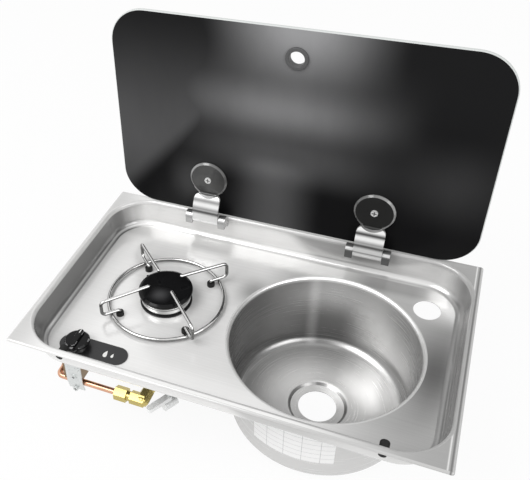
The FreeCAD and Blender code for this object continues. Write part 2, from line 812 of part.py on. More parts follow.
def make_hinge_arm(side, name):
    centre = f"({side} * dims.hinge_x)"
    half = f"({centre} - dims.arm_width / 2)"
    barrel = cylinder("dims.barrel_radius", "dims.arm_width", (half, HINGE_Y, "dims.hinge_z"), "x")
    leaf_centre = (half, f"{HINGE_Y} - dims.barrel_radius + dims.leaf_radius", "dims.hinge_z")
    leaf_ring = cut(
        cylinder("dims.leaf_radius", "dims.arm_width", leaf_centre, "x"),
        [cylinder("dims.leaf_radius - dims.leaf_thick", "dims.arm_width", leaf_centre, "x")],
    )
    outline = new_body((centre, "0", "0"))
    low = ("-dims.arm_width / 2", "dims.hinge_z")
    high = ("dims.arm_width / 2", "dims.hinge_z + dims.leaf_height")
    window = rounded_rectangle(outline, "XZ", low, high, "dims.leaf_corner",
                               f"-({HINGE_Y} - dims.barrel_radius)")
    pad(outline, window, f"{NECK_BACK} - {HINGE_Y} + dims.barrel_radius", reverse=True)
    leaf = common(leaf_ring, outline)
    roll_x = f"({centre} - dims.arm_width / 2 + dims.leaf_corner)"
    roll = cylinder("dims.leaf_roll", "dims.arm_width - 2 * dims.leaf_corner",
                    (roll_x, f"{NECK_FRONT} - dims.leaf_roll / 2", "dims.hinge_z + dims.leaf_height"), "x")
    neck = new_body((centre, "0", "0"))
    half_neck = "dims.neck_width / 2"
    half_shoulder = "dims.shoulder_width / 2"
    shoulder_z = "(dims.disc_z - dims.shoulder_drop)"
    keyhole = polygon(neck, "XZ", [
        (f"-{half_neck}", "dims.hinge_z + dims.neck_root"),
        (half_neck, "dims.hinge_z + dims.neck_root"),
        (half_neck, f"{shoulder_z} - dims.neck_taper"),
        (half_shoulder, shoulder_z),
        (half_shoulder, "dims.disc_z"),
        (f"-{half_shoulder}", "dims.disc_z"),
        (f"-{half_shoulder}", shoulder_z),
        (f"-{half_neck}", f"{shoulder_z} - dims.neck_taper"),
    ], f"-{NECK_FRONT}")
    pad(neck, keyhole, "dims.disc_thick", reverse=True)
    root = box("dims.neck_width", f"{NECK_BACK} - {HINGE_Y}", "dims.barrel_radius - dims.neck_root",
               (f"{centre} - {half_neck}", HINGE_Y, "dims.hinge_z + dims.neck_root"))
    disc = cylinder("dims.disc_radius", "dims.disc_thick - dims.disc_bevel",
                    (centre, f"{NECK_FRONT} + dims.disc_bevel", "dims.disc_z"), "y")
    bevel = cone("dims.disc_radius - dims.disc_bevel_width", "dims.disc_radius", "dims.disc_bevel",
                 (centre, NECK_FRONT, "dims.disc_z"), "y")
    bore = cylinder("dims.pin_radius + dims.pin_fit", "dims.arm_width",
                    (half, HINGE_Y, "dims.hinge_z"), "x")
    screw_hole = cylinder("dims.disc_screw_radius + dims.thread_gap", "dims.disc_thick",
                          (centre, NECK_FRONT, "dims.disc_z"), "y")
    arm = fuse([barrel, leaf, roll, neck, root, disc, bevel])
    keep(cut(arm, [bore, screw_hole]), name)


def make_hinge_pin(side, name):
    start = f"({side} * dims.hinge_x - dims.hinge_width / 2)"
    pin = cylinder("dims.pin_radius", "dims.hinge_width", (start, HINGE_Y, "dims.hinge_z"), "x")
    keep(pin, name)


def make_hinge_pad(side, name):
    at = (f"{side} * dims.hinge_x", NECK_BACK, "dims.disc_z")
    disc = cylinder("dims.disc_radius - dims.pad_thick", "dims.pad_thick", at, "y")
    hole = cylinder("dims.glass_hole", "dims.pad_thick", at, "y")
    keep(cut(disc, [hole]), name)


def make_hinge_cap(side, name):
    body = new_body((f"{side} * dims.hinge_x", LID_BACK, "dims.disc_z"))
    boss_end = f"({NECK_BACK} - {LID_BACK})"
    tapped = "dims.disc_screw_radius + dims.thread_gap"
    revolve(body, "XY", [
        (tapped, boss_end),
        ("dims.cap_boss", boss_end),
        ("dims.cap_boss", "0"),
        ("dims.cap_radius", "0"),
        ("dims.cap_radius", "dims.cap_thick"),
        ("0", "dims.cap_thick"),
        ("0", "dims.cap_thick / 2"),
        (tapped, "dims.cap_thick / 2"),
    ])
    far = size("dims.cap_thick")
    round_edges(body, "dims.cap_thick / 2", lambda edge: near(edge.BoundBox.YMin, far))
    keep(body, name)


def screw_along_y(x, face, z, head, rise, radius, length):
    """Pan-head screw whose head stands on a face towards the front."""
    top = cylinder(head, rise, (x, f"{face} - ({rise})", z), "y")
    shank = cylinder(radius, length, (x, face, z), "y")
    return fuse([top, shank])


def make_hinge_screws():
    screws = [
        screw_along_y(f"{side} * dims.hinge_x", NECK_FRONT, "dims.disc_z", "dims.disc_screw_head",
                      "dims.disc_screw_rise", "dims.disc_screw_radius",
                      "dims.disc_thick + dims.pad_thick + dims.lid_thick")
        for side in (-1, 1)
    ]
    keep(group(screws), "hinge_disc_screws")


# Burner: collar on the floor, cup below it, lift-off crown and cap

COLLAR_TOP = f"({FLOOR} + dims.collar_height)"
CROWN_TOP = f"({FLOOR} + dims.collar_height + dims.crown_height)"
CUP_BOTTOM = f"({UNDER} - dims.cup_height)"
FEED_Z = f"({UNDER} - dims.feed_drop)"
MAGNET_END = f"({KNOB_X} + dims.tap_block_width / 2 + dims.magnet_length)"
MAGNET_Z = f"({UNDER} - dims.magnet_drop)"


def make_collar():
    body = new_body((BURNER_X, BURNER_Y, FLOOR))
    revolve(body, "XZ", [
        ("dims.collar_bore", "0"),
        ("dims.collar_radius", "0"),
        ("dims.collar_radius", "dims.collar_step"),
        ("dims.collar_neck", "dims.collar_step"),
        ("dims.collar_neck", "dims.collar_height"),
        ("dims.collar_bore", "dims.collar_height"),
    ])
    holes = [
        (f"dims.burner_screw_ring * cos({angle} deg)", f"dims.burner_screw_ring * sin({angle} deg)",
         "dims.burner_screw_radius + dims.thread_gap")
        for angle in BURNER_SCREW_ANGLES
    ]
    pocket(body, circles(body, "XY", holes), BURNER_SCREW_BITE, reverse=True)
    keep(body, "burner_collar")


def make_cup():
    body = new_body((BURNER_X, BURNER_Y, UNDER))
    revolve(body, "XZ", [
        ("dims.cup_bore", "0"),
        ("dims.cup_flange", "0"),
        ("dims.cup_flange", "-dims.cup_flange_thick"),
        ("dims.cup_radius", "-dims.cup_flange_thick"),
        ("dims.cup_radius", "-dims.cup_height"),
        ("dims.cup_hole", "-dims.cup_height"),
        ("dims.cup_hole", "-dims.cup_height + dims.cup_floor"),
        ("dims.cup_bore", "-dims.cup_height + dims.cup_floor"),
    ])
    holes = [
        (f"dims.burner_screw_ring * cos({angle} deg)", f"dims.burner_screw_ring * sin({angle} deg)",
         "dims.burner_screw_radius + dims.thread_gap")
        for angle in BURNER_SCREW_ANGLES
    ]
    pocket(body, circles(body, "XY", holes), "dims.cup_flange_thick")
    keep(body, "burner_cup")


def make_burner_screws():
    screws = []
    for angle in BURNER_SCREW_ANGLES:
        x, y = burner_screw_place(angle)
        face = f"({UNDER} - dims.cup_flange_thick)"
        head = cylinder("dims.burner_screw_head", "dims.burner_screw_radius",
                        (x, y, f"{face} - dims.burner_screw_radius"))
        shank = cylinder("dims.burner_screw_radius",
                         f"{BURNER_SCREW_BITE} + dims.sheet + dims.cup_flange_thick", (x, y, face))
        screws.append(fuse([head, shank]))
    keep(group(screws), "burner_screws")


def make_crown():
    body = new_body((BURNER_X, BURNER_Y, COLLAR_TOP))
    revolve(body, "XZ", [
        ("dims.crown_bore", "-dims.crown_spigot_length"),
        ("dims.crown_spigot", "-dims.crown_spigot_length"),
        ("dims.crown_spigot", "0"),
        ("dims.crown_waist", "0"),
        ("dims.crown_waist", "dims.crown_waist_height"),
        ("dims.crown_radius", "dims.crown_waist_height + dims.crown_slope"),
        ("dims.crown_radius", "dims.crown_height"),
        ("dims.crown_bore", "dims.crown_height"),
    ])
    port = polygon(body, "XY", [
        ("dims.crown_bore / 2", "-dims.port_width / 2"),
        ("dims.crown_radius * 2", "-dims.port_width / 2"),
        ("dims.crown_radius * 2", "dims.port_width / 2"),
        ("dims.crown_bore / 2", "dims.port_width / 2"),
    ], "dims.crown_height")
    first = pocket(body, port, "dims.port_depth")
    ports = body.newObject("PartDesign::PolarPattern", "ports")
    ports.Originals = [first]
    ports.Axis = (next(item for item in body.Origin.OriginFeatures if item.Role == "Z_Axis"), [""])
    ports.Angle = 360
    ports.setExpression("Occurrences", "dims.port_count")
    body.Tip = ports
    document.recompute()
    keep(body, "burner_crown")


def make_burner_cap():
    body = new_body((BURNER_X, BURNER_Y, CROWN_TOP))
    revolve(body, "XZ", [
        ("0", "dims.cap_hollow"),
        ("dims.cap_rib_inner", "dims.cap_hollow"),
        ("dims.cap_rib_inner", "-dims.cap_rib_depth"),
        ("dims.cap_rib_outer", "-dims.cap_rib_depth"),
        ("dims.cap_rib_outer", "0"),
        ("dims.burner_cap_radius", "0"),
        ("dims.burner_cap_radius", "dims.burner_cap_edge"),
        ("dims.burner_cap_flat", "dims.burner_cap_rise"),
        ("0", "dims.burner_cap_crown"),
    ])
    edges = [("dims.burner_cap_radius", "dims.burner_cap_edge"), ("dims.burner_cap_flat", "dims.burner_cap_rise")]

    def outer_edge(edge):
        return any(ring_edge(edge, size(radius), FreeCAD.Vector(0, 0, size(z))) for radius, z in edges)

    round_edges(body, "dims.burner_cap_edge / 3", outer_edge)
    keep(body, "burner_cap")


def make_injector():
    holder_at = (BURNER_X, BURNER_Y, f"{CUP_BOTTOM} - dims.holder_height")
    holder = cylinder("dims.holder_radius", "dims.holder_height", holder_at)
    boss_x = f"({BURNER_X} - dims.holder_radius - dims.port_boss_length)"
    boss = cylinder("dims.port_boss - dims.supply_wall", "dims.holder_radius + dims.port_boss_length",
                    (boss_x, BURNER_Y, FEED_Z), "x")
    seat = cylinder("dims.injector_radius + dims.thread_gap", "dims.holder_bore_depth",
                    (BURNER_X, BURNER_Y, f"{CUP_BOTTOM} - dims.holder_bore_depth"))
    socket = cylinder("dims.feed_radius + dims.pipe_fit", "dims.pipe_socket",
                      (boss_x, BURNER_Y, FEED_Z), "x")
    channel = cylinder("dims.feed_radius / 2", "dims.holder_radius + dims.port_boss_length",
                       (boss_x, BURNER_Y, FEED_Z), "x")
    keep(cut(fuse([holder, boss]), [seat, socket, channel]), "injector_holder")
    jet_at = (BURNER_X, BURNER_Y, f"{CUP_BOTTOM} - dims.holder_bore_depth")
    length = "dims.holder_bore_depth + dims.injector_rise"
    keep(cut(cylinder("dims.injector_radius", length, jet_at),
             [cylinder("dims.injector_jet", length, jet_at)]), "gas_injector")


def make_thermocouple():
    low = f"({UNDER} - dims.probe_drop)"
    probe = cylinder("dims.probe_radius", f"{FLOOR} + dims.probe_top - {low}", (PROBE_X, PROBE_Y, low))
    keep(probe, "thermocouple_probe")
    nut_at = (PROBE_X, PROBE_Y, f"{UNDER} - dims.probe_nut_height")
    nut = hexagon("dims.probe_nut", "dims.probe_nut_height", nut_at)
    bore = cylinder("dims.probe_radius + dims.thread_gap", "dims.probe_nut_height", nut_at)
    keep(cut(nut, [bore]), "thermocouple_nut")
    run_z = f"({low} - 2 * dims.lead_bend)"
    turn_x = f"({MAGNET_END} + 2 * dims.lead_bend)"
    turn_y = f"({KNOB_Y} + 5 * dims.lead_bend)"
    lead = rod([
        (PROBE_X, PROBE_Y, low),
        (PROBE_X, PROBE_Y, run_z),
        (turn_x, turn_y, run_z),
        (turn_x, KNOB_Y, MAGNET_Z),
        (MAGNET_END, KNOB_Y, MAGNET_Z),
    ], "dims.lead_bend", "dims.lead_radius")
    keep(lead, "thermocouple_lead")


# Trivet: wire ring with four bent arms on rubber feet

TRIVET_ANGLES = (45, 135, 225, 315)
TRIVET_RING = "(dims.arm_reach - dims.arm_overhang)"
FOOT_RING = "(dims.arm_reach - dims.foot_inset)"


def trivet_point(angle, radius, height):
    x = f"{BURNER_X} + ({radius}) * cos({angle} deg)"
    y = f"{BURNER_Y} + ({radius}) * sin({angle} deg)"
    return x, y, f"{FLOOR} + {height}"


def make_trivet():
    pieces = []
    ring_z = f"{FLOOR} + dims.arm_level - 2 * dims.wire_radius + dims.weld_sink"
    sizes = {"Radius1": TRIVET_RING, "Radius2": "dims.wire_radius"}
    pieces.append(primitive("Torus", sizes, (BURNER_X, BURNER_Y, ring_z)))
    foot_low = "(dims.foot_height - dims.foot_bore_depth)"
    for angle in TRIVET_ANGLES:
        upright = rod([
            trivet_point(angle, FOOT_RING, foot_low),
            trivet_point(angle, FOOT_RING, "dims.arm_level"),
            trivet_point(angle, TRIVET_RING, "dims.arm_level"),
        ], "dims.foot_bend", "dims.wire_radius")
        loop = rod([
            trivet_point(angle, TRIVET_RING, "dims.arm_level"),
            trivet_point(angle, "dims.arm_reach", "dims.arm_level"),
            trivet_point(angle, "dims.arm_reach", "dims.arm_top"),
            trivet_point(angle, "dims.tip_ring", "dims.tip_rise"),
        ], "dims.arm_bend", "dims.wire_radius")
        tip = primitive("Sphere", {"Radius": "dims.wire_radius"},
                        trivet_point(angle, "dims.tip_ring", "dims.tip_rise"))
        pieces.extend([upright, loop, tip])
    keep(fuse(pieces), "trivet")
    feet = []
    for angle in TRIVET_ANGLES:
        body = new_body(trivet_point(angle, FOOT_RING, "0"))
        bore = "dims.wire_radius + dims.thread_gap"
        revolve(body, "XZ", [
            ("0", "0"),
            ("dims.foot_radius", "0"),
            ("dims.foot_radius", "dims.foot_height"),
            (bore, "dims.foot_height"),
            (bore, foot_low),
            ("0", foot_low),
        ])
        top = FreeCAD.Vector(0, 0, size("dims.foot_height"))
        round_edges(body, "dims.foot_round", lambda edge: ring_edge(edge, size("dims.foot_radius"), top))
        feet.append(body)
    keep(group(feet), "trivet_feet")


# Control plate, knob, gas tap and its bracket

CONTROL_TOP = f"({FLOOR} + dims.control_thick)"
BEZEL_TOP = f"({FLOOR} + dims.control_thick + dims.bezel_height)"
KNOB_LOW = f"({FLOOR} + dims.control_thick + dims.bezel_height + dims.knob_push + dims.knob_gap)"
PLUG_TOP = f"({UNDER} - dims.plug_top)"
BLOCK_TOP = f"({UNDER} - dims.tap_block_top)"
BLOCK_LOW = f"({UNDER} - dims.tap_block_top - dims.tap_block_height)"
BLOCK_FRONT = f"({KNOB_Y} - dims.tap_block_front)"
BLOCK_BACK = f"({KNOB_Y} + dims.tap_block_back)"
INLET_Z = f"({UNDER} - dims.inlet_drop)"


def make_control_plate():
    body = new_body((KNOB_X, KNOB_Y, FLOOR))
    low = ("-dims.control_left", "dims.control_shift - dims.control_half_width")
    high = ("dims.control_right", "dims.control_shift + dims.control_half_width")
    outline = rounded_rectangle(body, "XY", low, high, "dims.control_half_width - dims.thread_gap")
    pad(body, outline, "dims.control_thick")
    hole = circles(body, "XY", [("0", "0", "dims.spindle_hole")])
    pocket(body, hole, "dims.control_thick", reverse=True)
    keep(body, "control_plate")


def make_bezel():
    at = (KNOB_X, KNOB_Y, CONTROL_TOP)
    ring = cylinder("dims.bezel_radius", "dims.bezel_height", at)
    keep(cut(ring, [cylinder("dims.spindle_hole", "dims.bezel_height", at)]), "knob_bezel")


def make_knob():
    body = new_body((KNOB_X, KNOB_Y, KNOB_LOW))
    revolve(body, "XZ", [
        ("0", "0"),
        ("dims.knob_foot", "0"),
        ("dims.knob_foot", "dims.knob_foot_height"),
        ("dims.knob_body", "dims.knob_foot_height + dims.knob_flare"),
        ("dims.knob_body", "dims.knob_body_height - dims.knob_flare"),
        ("dims.knob_body - dims.knob_flare", "dims.knob_body_height"),
        ("0", "dims.knob_body_height"),
    ])
    low = ("-dims.grip_width / 2", "-dims.grip_length / 2")
    high = ("dims.grip_width / 2", "dims.grip_length / 2")
    grip = rounded_rectangle(body, "XY", low, high, "dims.grip_width / 2 - dims.thread_gap")
    pad(body, grip, "dims.knob_height")
    top = size("dims.knob_height")
    round_edges(body, "dims.knob_round", lambda edge: level(edge, top))
    socket = circles(body, "XY", [("0", "0", "dims.spindle_radius + dims.thread_gap")])
    pocket(body, socket, "dims.spindle_engage", reverse=True)
    keep(body, "gas_knob")


def make_spindle_and_plug():
    low = f"({PLUG_TOP} - dims.spindle_in_plug)"
    high = f"({KNOB_LOW} + dims.spindle_engage)"
    spindle = cylinder("dims.spindle_radius", f"{high} - {low}", (KNOB_X, KNOB_Y, low))
    keep(spindle, "tap_spindle")
    plug_low = f"({PLUG_TOP} - dims.plug_length)"
    plug = cylinder("dims.plug_radius", "dims.plug_length", (KNOB_X, KNOB_Y, plug_low))
    socket = cylinder("dims.spindle_radius + dims.spindle_fit", "dims.plug_socket",
                      (KNOB_X, KNOB_Y, f"{PLUG_TOP} - dims.plug_socket"))
    keep(cut(plug, [socket]), "tap_plug")


def make_gas_tap():
    neck = cylinder("dims.tap_neck", "dims.tap_block_top", (KNOB_X, KNOB_Y, BLOCK_TOP))
    block = box("dims.tap_block_width", "dims.tap_block_front + dims.tap_block_back", "dims.tap_block_height",
                (f"{KNOB_X} - dims.tap_block_width / 2", BLOCK_FRONT, BLOCK_LOW))
    left = f"({KNOB_X} - dims.tap_block_width / 2 - dims.inlet_boss_length)"
    inlet = cylinder("dims.port_boss", "dims.inlet_boss_length", (left, KNOB_Y, INLET_Z), "x")
    outlet = cylinder("dims.port_boss - dims.supply_wall", "dims.port_boss_length",
                      (KNOB_X, BLOCK_BACK, FEED_Z), "y")
    tools = [
        cylinder("dims.spindle_radius + 2 * dims.spindle_fit", "dims.plug_top",
                 (KNOB_X, KNOB_Y, PLUG_TOP)),
        cylinder("dims.plug_radius + dims.spindle_fit", "dims.plug_length",
                 (KNOB_X, KNOB_Y, f"{PLUG_TOP} - dims.plug_length")),
        cylinder("dims.supply_radius + dims.pipe_fit", "dims.pipe_socket", (left, KNOB_Y, INLET_Z), "x"),
        cylinder("dims.feed_radius + dims.pipe_fit", "dims.pipe_socket",
                 (KNOB_X, f"{BLOCK_BACK} + dims.port_boss_length - dims.pipe_socket", FEED_Z), "y"),
        cylinder("dims.bracket_screw_radius + dims.thread_gap", "dims.pipe_socket",
                 (BRACKET_X, BLOCK_FRONT, f"{UNDER} - dims.bracket_screw_high"), "y"),
    ]
    keep(cut(fuse([neck, block, inlet, outlet]), tools), "gas_tap")
    magnet = cylinder("dims.magnet_radius", "dims.magnet_length",
                      (f"{MAGNET_END} - dims.magnet_length", KNOB_Y, MAGNET_Z), "x")
    keep(magnet, "safety_magnet")


def make_bracket():
    body = new_body((BRACKET_X, "0", "0"))
    face = f"({BLOCK_FRONT} - dims.bracket_thick)"
    bend = f"({UNDER} - dims.bracket_bend_drop)"
    foot = f"({UNDER} - dims.bracket_foot_drop)"
    side = polygon(body, "YZ", [
        (face, UNDER),
        (face, bend),
        (f"{face} + dims.bracket_kick", foot),
        (f"{BLOCK_FRONT} + dims.bracket_kick", foot),
        (BLOCK_FRONT, bend),
        (BLOCK_FRONT, f"{UNDER} - dims.bracket_thick"),
        (f"{BLOCK_FRONT} + dims.bracket_flange", f"{UNDER} - dims.bracket_thick"),
        (f"{BLOCK_FRONT} + dims.bracket_flange", UNDER),
    ])
    pad(body, side, "dims.bracket_width", middle=True)
    holes = circles(body, "XZ", [
        ("0", f"{UNDER} - dims.bracket_screw_high", "dims.bracket_screw_radius + dims.thread_gap"),
        ("0", f"{UNDER} - dims.bracket_screw_low", "dims.bracket_screw_radius + dims.thread_gap"),
    ], f"-({face} - dims.bracket_thick)")
    pocket(body, holes, "dims.bracket_flange / 2")
    keep(body, "tap_bracket")
    kick = "(dims.bracket_kick * (dims.bracket_screw_low - dims.bracket_bend_drop + dims.nut_hex / 2)" \
           " / (dims.bracket_foot_drop - dims.bracket_bend_drop))"
    nut_y = f"({BLOCK_FRONT} + {kick})"
    low_z = f"({UNDER} - dims.bracket_screw_low)"
    high_screw = screw_along_y(BRACKET_X, face, f"{UNDER} - dims.bracket_screw_high",
                               "dims.bracket_screw_head", "dims.bracket_screw_rise",
                               "dims.bracket_screw_radius", "dims.pipe_socket")
    low_screw = screw_along_y(BRACKET_X, face, low_z, "dims.bracket_screw_head",
                              "dims.bracket_screw_rise", "dims.bracket_screw_radius",
                              f"{nut_y} - {face} + dims.bracket_screw_head")
    keep(group([high_screw, low_screw]), "bracket_screws")
    nut_at = (BRACKET_X, nut_y, low_z)
    nut = hexagon("dims.bracket_screw_head", "dims.bracket_screw_rise", nut_at, "y")
    thread = cylinder("dims.bracket_screw_radius + dims.thread_gap", "dims.bracket_screw_rise", nut_at, "y")
    keep(cut(nut, [thread]), "bracket_nut")


# Gas pipes and fittings

ELBOW_NECK_X = f"({ELBOW_X} - dims.elbow_leg - dims.elbow_neck_length)"
ELBOW_NECK_Y = f"({SUPPLY_Y} + dims.elbow_back_leg + dims.elbow_neck_length)"


def make_elbow():
    corner = (ELBOW_X, SUPPLY_Y, SUPPLY_Z)
    front_leg = hexagon("dims.elbow_hex", "dims.elbow_leg + dims.elbow_overlap",
                        (f"{ELBOW_X} - dims.elbow_leg", SUPPLY_Y, SUPPLY_Z), "x")
    back_leg = hexagon("dims.elbow_hex", "dims.elbow_back_leg + dims.elbow_overlap",
                       (ELBOW_X, f"{SUPPLY_Y} - dims.elbow_overlap", SUPPLY_Z), "y")
    knee = primitive("Sphere", {"Radius": "dims.elbow_knee"}, corner)
    front_neck = cylinder("dims.elbow_neck", "dims.elbow_leg + dims.elbow_neck_length",
                          (ELBOW_NECK_X, SUPPLY_Y, SUPPLY_Z), "x")
    back_neck = cylinder("dims.elbow_neck", "dims.elbow_back_leg + dims.elbow_neck_length", corner, "y")
    bores = [
        cylinder("dims.elbow_bore", "dims.elbow_leg + dims.elbow_neck_length",
                 (ELBOW_NECK_X, SUPPLY_Y, SUPPLY_Z), "x"),
        cylinder("dims.elbow_bore", "dims.elbow_back_leg + dims.elbow_neck_length", corner, "y"),
        cylinder("dims.supply_radius + dims.pipe_fit", "dims.socket_depth",
                 (ELBOW_NECK_X, SUPPLY_Y, SUPPLY_Z), "x"),
        cylinder("dims.supply_radius + dims.pipe_fit", "dims.socket_depth",
                 (ELBOW_X, f"{ELBOW_NECK_Y} - dims.socket_depth", SUPPLY_Z), "y"),
    ]
    keep(cut(fuse([front_leg, back_leg, knee, front_neck, back_neck]), bores), "inlet_elbow")
    pipe_nut_at = (f"{ELBOW_NECK_X} - dims.nut_length", SUPPLY_Y, SUPPLY_Z)
    inlet_nut_at = (ELBOW_X, ELBOW_NECK_Y, SUPPLY_Z)
    for name, at, axis in (("elbow_pipe_nut", pipe_nut_at, "x"), ("elbow_inlet_nut", inlet_nut_at, "y")):
        nut = hexagon("dims.nut_hex", "dims.nut_length", at, axis)
        bore = cylinder("dims.supply_radius + dims.pipe_fit", "dims.nut_length", at, axis)
        keep(cut(nut, [bore]), name)


def make_pipes():
    tap_left = f"({KNOB_X} - dims.tap_block_width / 2 - dims.inlet_boss_length)"
    supply = tube([
        (f"{ELBOW_NECK_X} + dims.socket_depth", SUPPLY_Y, SUPPLY_Z),
        (SUPPLY_LEFT, SUPPLY_Y, SUPPLY_Z),
        (SUPPLY_LEFT, KNOB_Y, SUPPLY_Z),
        (SUPPLY_LEFT, KNOB_Y, INLET_Z),
        (f"{tap_left} + dims.pipe_socket", KNOB_Y, INLET_Z),
    ], "dims.supply_bend", "dims.supply_radius", "dims.supply_wall")
    keep(supply, "supply_pipe")
    holder_left = f"({BURNER_X} - dims.holder_radius - dims.port_boss_length)"
    tap_back = f"({BLOCK_BACK} + dims.port_boss_length)"
    feed = tube([
        (KNOB_X, f"{tap_back} - dims.pipe_socket", FEED_Z),
        (KNOB_X, BURNER_Y, FEED_Z),
        (f"{holder_left} + dims.pipe_socket", BURNER_Y, FEED_Z),
    ], "dims.feed_bend", "dims.feed_radius", "dims.feed_wall")
    keep(feed, "burner_pipe")
    nuts = []
    tap_nut_at = (KNOB_X, tap_back, FEED_Z)
    holder_nut_at = (f"{holder_left} - dims.feed_nut_length", BURNER_Y, FEED_Z)
    for at, axis in ((tap_nut_at, "y"), (holder_nut_at, "x")):
        nut = hexagon("dims.feed_nut_hex", "dims.feed_nut_length", at, axis)
        bore = cylinder("dims.feed_radius + dims.pipe_fit", "dims.feed_nut_length", at, axis)
        nuts.append(cut(nut, [bore]))
    keep(group(nuts), "burner_pipe_nuts")


# Hold-down clamp and front hole plugs

BAR_TOP = f"({UNDER} - dims.clamp_bar_drop)"
BAR_LOW = f"({UNDER} - dims.clamp_bar_drop - dims.clamp_bar_thick)"


def make_clamp():
    stud_low = f"({UNDER} - dims.stud_length)"
    shaft = cylinder("dims.stud_radius", "dims.stud_length", (CLAMP_X, CLAMP_Y, stud_low))
    base = cylinder("dims.stud_base", "dims.stud_base_height",
                    (CLAMP_X, CLAMP_Y, f"{UNDER} - dims.stud_base_height"))
    keep(fuse([shaft, base]), "clamp_stud")
    turn = "dims.clamp_angle * 1 deg"
    bore = "dims.stud_radius + dims.clamp_fit"
    bar = new_body((CLAMP_X, CLAMP_Y, BAR_LOW), turn)
    low = ("-dims.clamp_bar_width / 2", "-dims.clamp_bar_width / 2")
    high = ("dims.clamp_bar_reach", "dims.clamp_bar_width / 2")
    outline = rounded_rectangle(bar, "XY", low, high, "dims.clamp_bar_width / 2 - dims.thread_gap")
    pad(bar, outline, "dims.clamp_bar_thick")
    pocket(bar, circles(bar, "XY", [("0", "0", bore)]), "dims.clamp_bar_thick", reverse=True)
    keep(bar, "clamp_bar")
    nut_z = f"({BAR_LOW} - dims.barrel_nut_gap - dims.barrel_nut_radius)"
    nut = new_body((CLAMP_X, CLAMP_Y, nut_z), turn)
    barrel = circles(nut, "YZ", [("0", "0", "dims.barrel_nut_radius")])
    pad(nut, barrel, "dims.barrel_nut_length", middle=True)
    cross = circles(nut, "XY", [("0", "0", bore)])
    pocket(nut, cross, "3 * dims.barrel_nut_radius", middle=True)
    keep(nut, "clamp_barrel_nut")


def make_front_plug(side, name):
    body = new_body((f"{side} * {FRONT_PLUG_X}", f"-{PLUG_FACE}", "-dims.front_plug_drop"), DRAFT, (1, 0, 0))
    tail_face = "(-dims.sheet - dims.front_plug_gap)"
    revolve(body, "XY", [
        ("0", f"{tail_face} - dims.front_plug_tail_reach"),
        ("dims.front_plug_neck", f"{tail_face} - dims.front_plug_tail_reach"),
        ("dims.front_plug_tail", tail_face),
        ("dims.front_plug_neck", tail_face),
        ("dims.front_plug_neck", "dims.front_plug_gap"),
        ("dims.front_plug_head", "dims.front_plug_gap"),
        ("dims.front_plug_head", "dims.front_plug_reach"),
        ("0", "dims.front_plug_reach"),
    ])
    end = FreeCAD.Vector(0, size("dims.front_plug_reach"), 0)
    round_edges(body, "dims.front_plug_head / 2", lambda edge: ring_edge(edge, size("dims.front_plug_head"), end))
    keep(body, name)


make_pan()
make_bowl()
make_glass()
make_grommet()
for side, word in ((-1, "left"), (1, "right")):
    make_hinge_base(side, word + "_hinge_base")
    make_hinge_arm(side, word + "_hinge_arm")
    make_hinge_pin(side, word + "_hinge_pin")
    make_hinge_pad(side, word + "_hinge_pad")
    make_hinge_cap(side, word + "_hinge_cap")
    make_front_plug(side, word + "_front_plug")
make_hinge_screws()
make_collar()
make_cup()
make_burner_screws()
make_crown()
make_burner_cap()
make_injector()
make_thermocouple()
make_trivet()
make_control_plate()
make_bezel()
make_knob()
make_spindle_and_plug()
make_gas_tap()
make_bracket()
make_elbow()
make_pipes()
make_clamp()
document.recompute()

for item in document.Objects:
    if {"Invalid", "Error"} & set(item.State):
        raise ValueError(f"{item.Label} failed: {item.State}")
for piece in SUBPARTS:
    if piece.Shape.isNull() or not piece.Shape.isValid() or not piece.Shape.Solids:
        raise ValueError(piece.Label + " has no valid solid")

os.makedirs("parts", exist_ok=True)
for piece in SUBPARTS:
    piece.Shape.exportStep(os.path.join("parts", piece.Label + ".step"))
    print(piece.Label, len(piece.Shape.Solids), round(piece.Shape.Volume, 1))
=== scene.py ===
import json
import math

import bmesh
import bpy
from mathutils import Matrix, Vector
from mathutils.bvhtree import BVHTree


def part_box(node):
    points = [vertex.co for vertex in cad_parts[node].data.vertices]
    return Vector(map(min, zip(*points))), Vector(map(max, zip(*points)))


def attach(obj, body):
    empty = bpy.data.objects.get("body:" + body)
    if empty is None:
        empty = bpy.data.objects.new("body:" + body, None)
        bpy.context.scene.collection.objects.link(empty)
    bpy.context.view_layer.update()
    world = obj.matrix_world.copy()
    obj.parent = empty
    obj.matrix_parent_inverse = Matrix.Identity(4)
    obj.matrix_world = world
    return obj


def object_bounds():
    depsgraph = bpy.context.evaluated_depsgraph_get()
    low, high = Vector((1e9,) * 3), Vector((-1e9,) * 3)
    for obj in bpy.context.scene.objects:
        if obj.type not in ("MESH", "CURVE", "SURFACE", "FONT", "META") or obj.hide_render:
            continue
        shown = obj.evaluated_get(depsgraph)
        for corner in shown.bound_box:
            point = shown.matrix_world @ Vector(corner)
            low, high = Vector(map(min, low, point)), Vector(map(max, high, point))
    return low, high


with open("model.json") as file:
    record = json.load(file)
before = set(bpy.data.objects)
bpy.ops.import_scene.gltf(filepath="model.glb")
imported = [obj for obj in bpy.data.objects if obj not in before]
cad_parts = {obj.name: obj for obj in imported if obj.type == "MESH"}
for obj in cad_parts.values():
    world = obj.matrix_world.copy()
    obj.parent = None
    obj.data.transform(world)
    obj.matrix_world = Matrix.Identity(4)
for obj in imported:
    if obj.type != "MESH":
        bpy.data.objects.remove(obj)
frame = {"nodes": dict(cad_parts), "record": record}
cad_box = [list(corner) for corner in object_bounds()]
NODES = frame["nodes"]

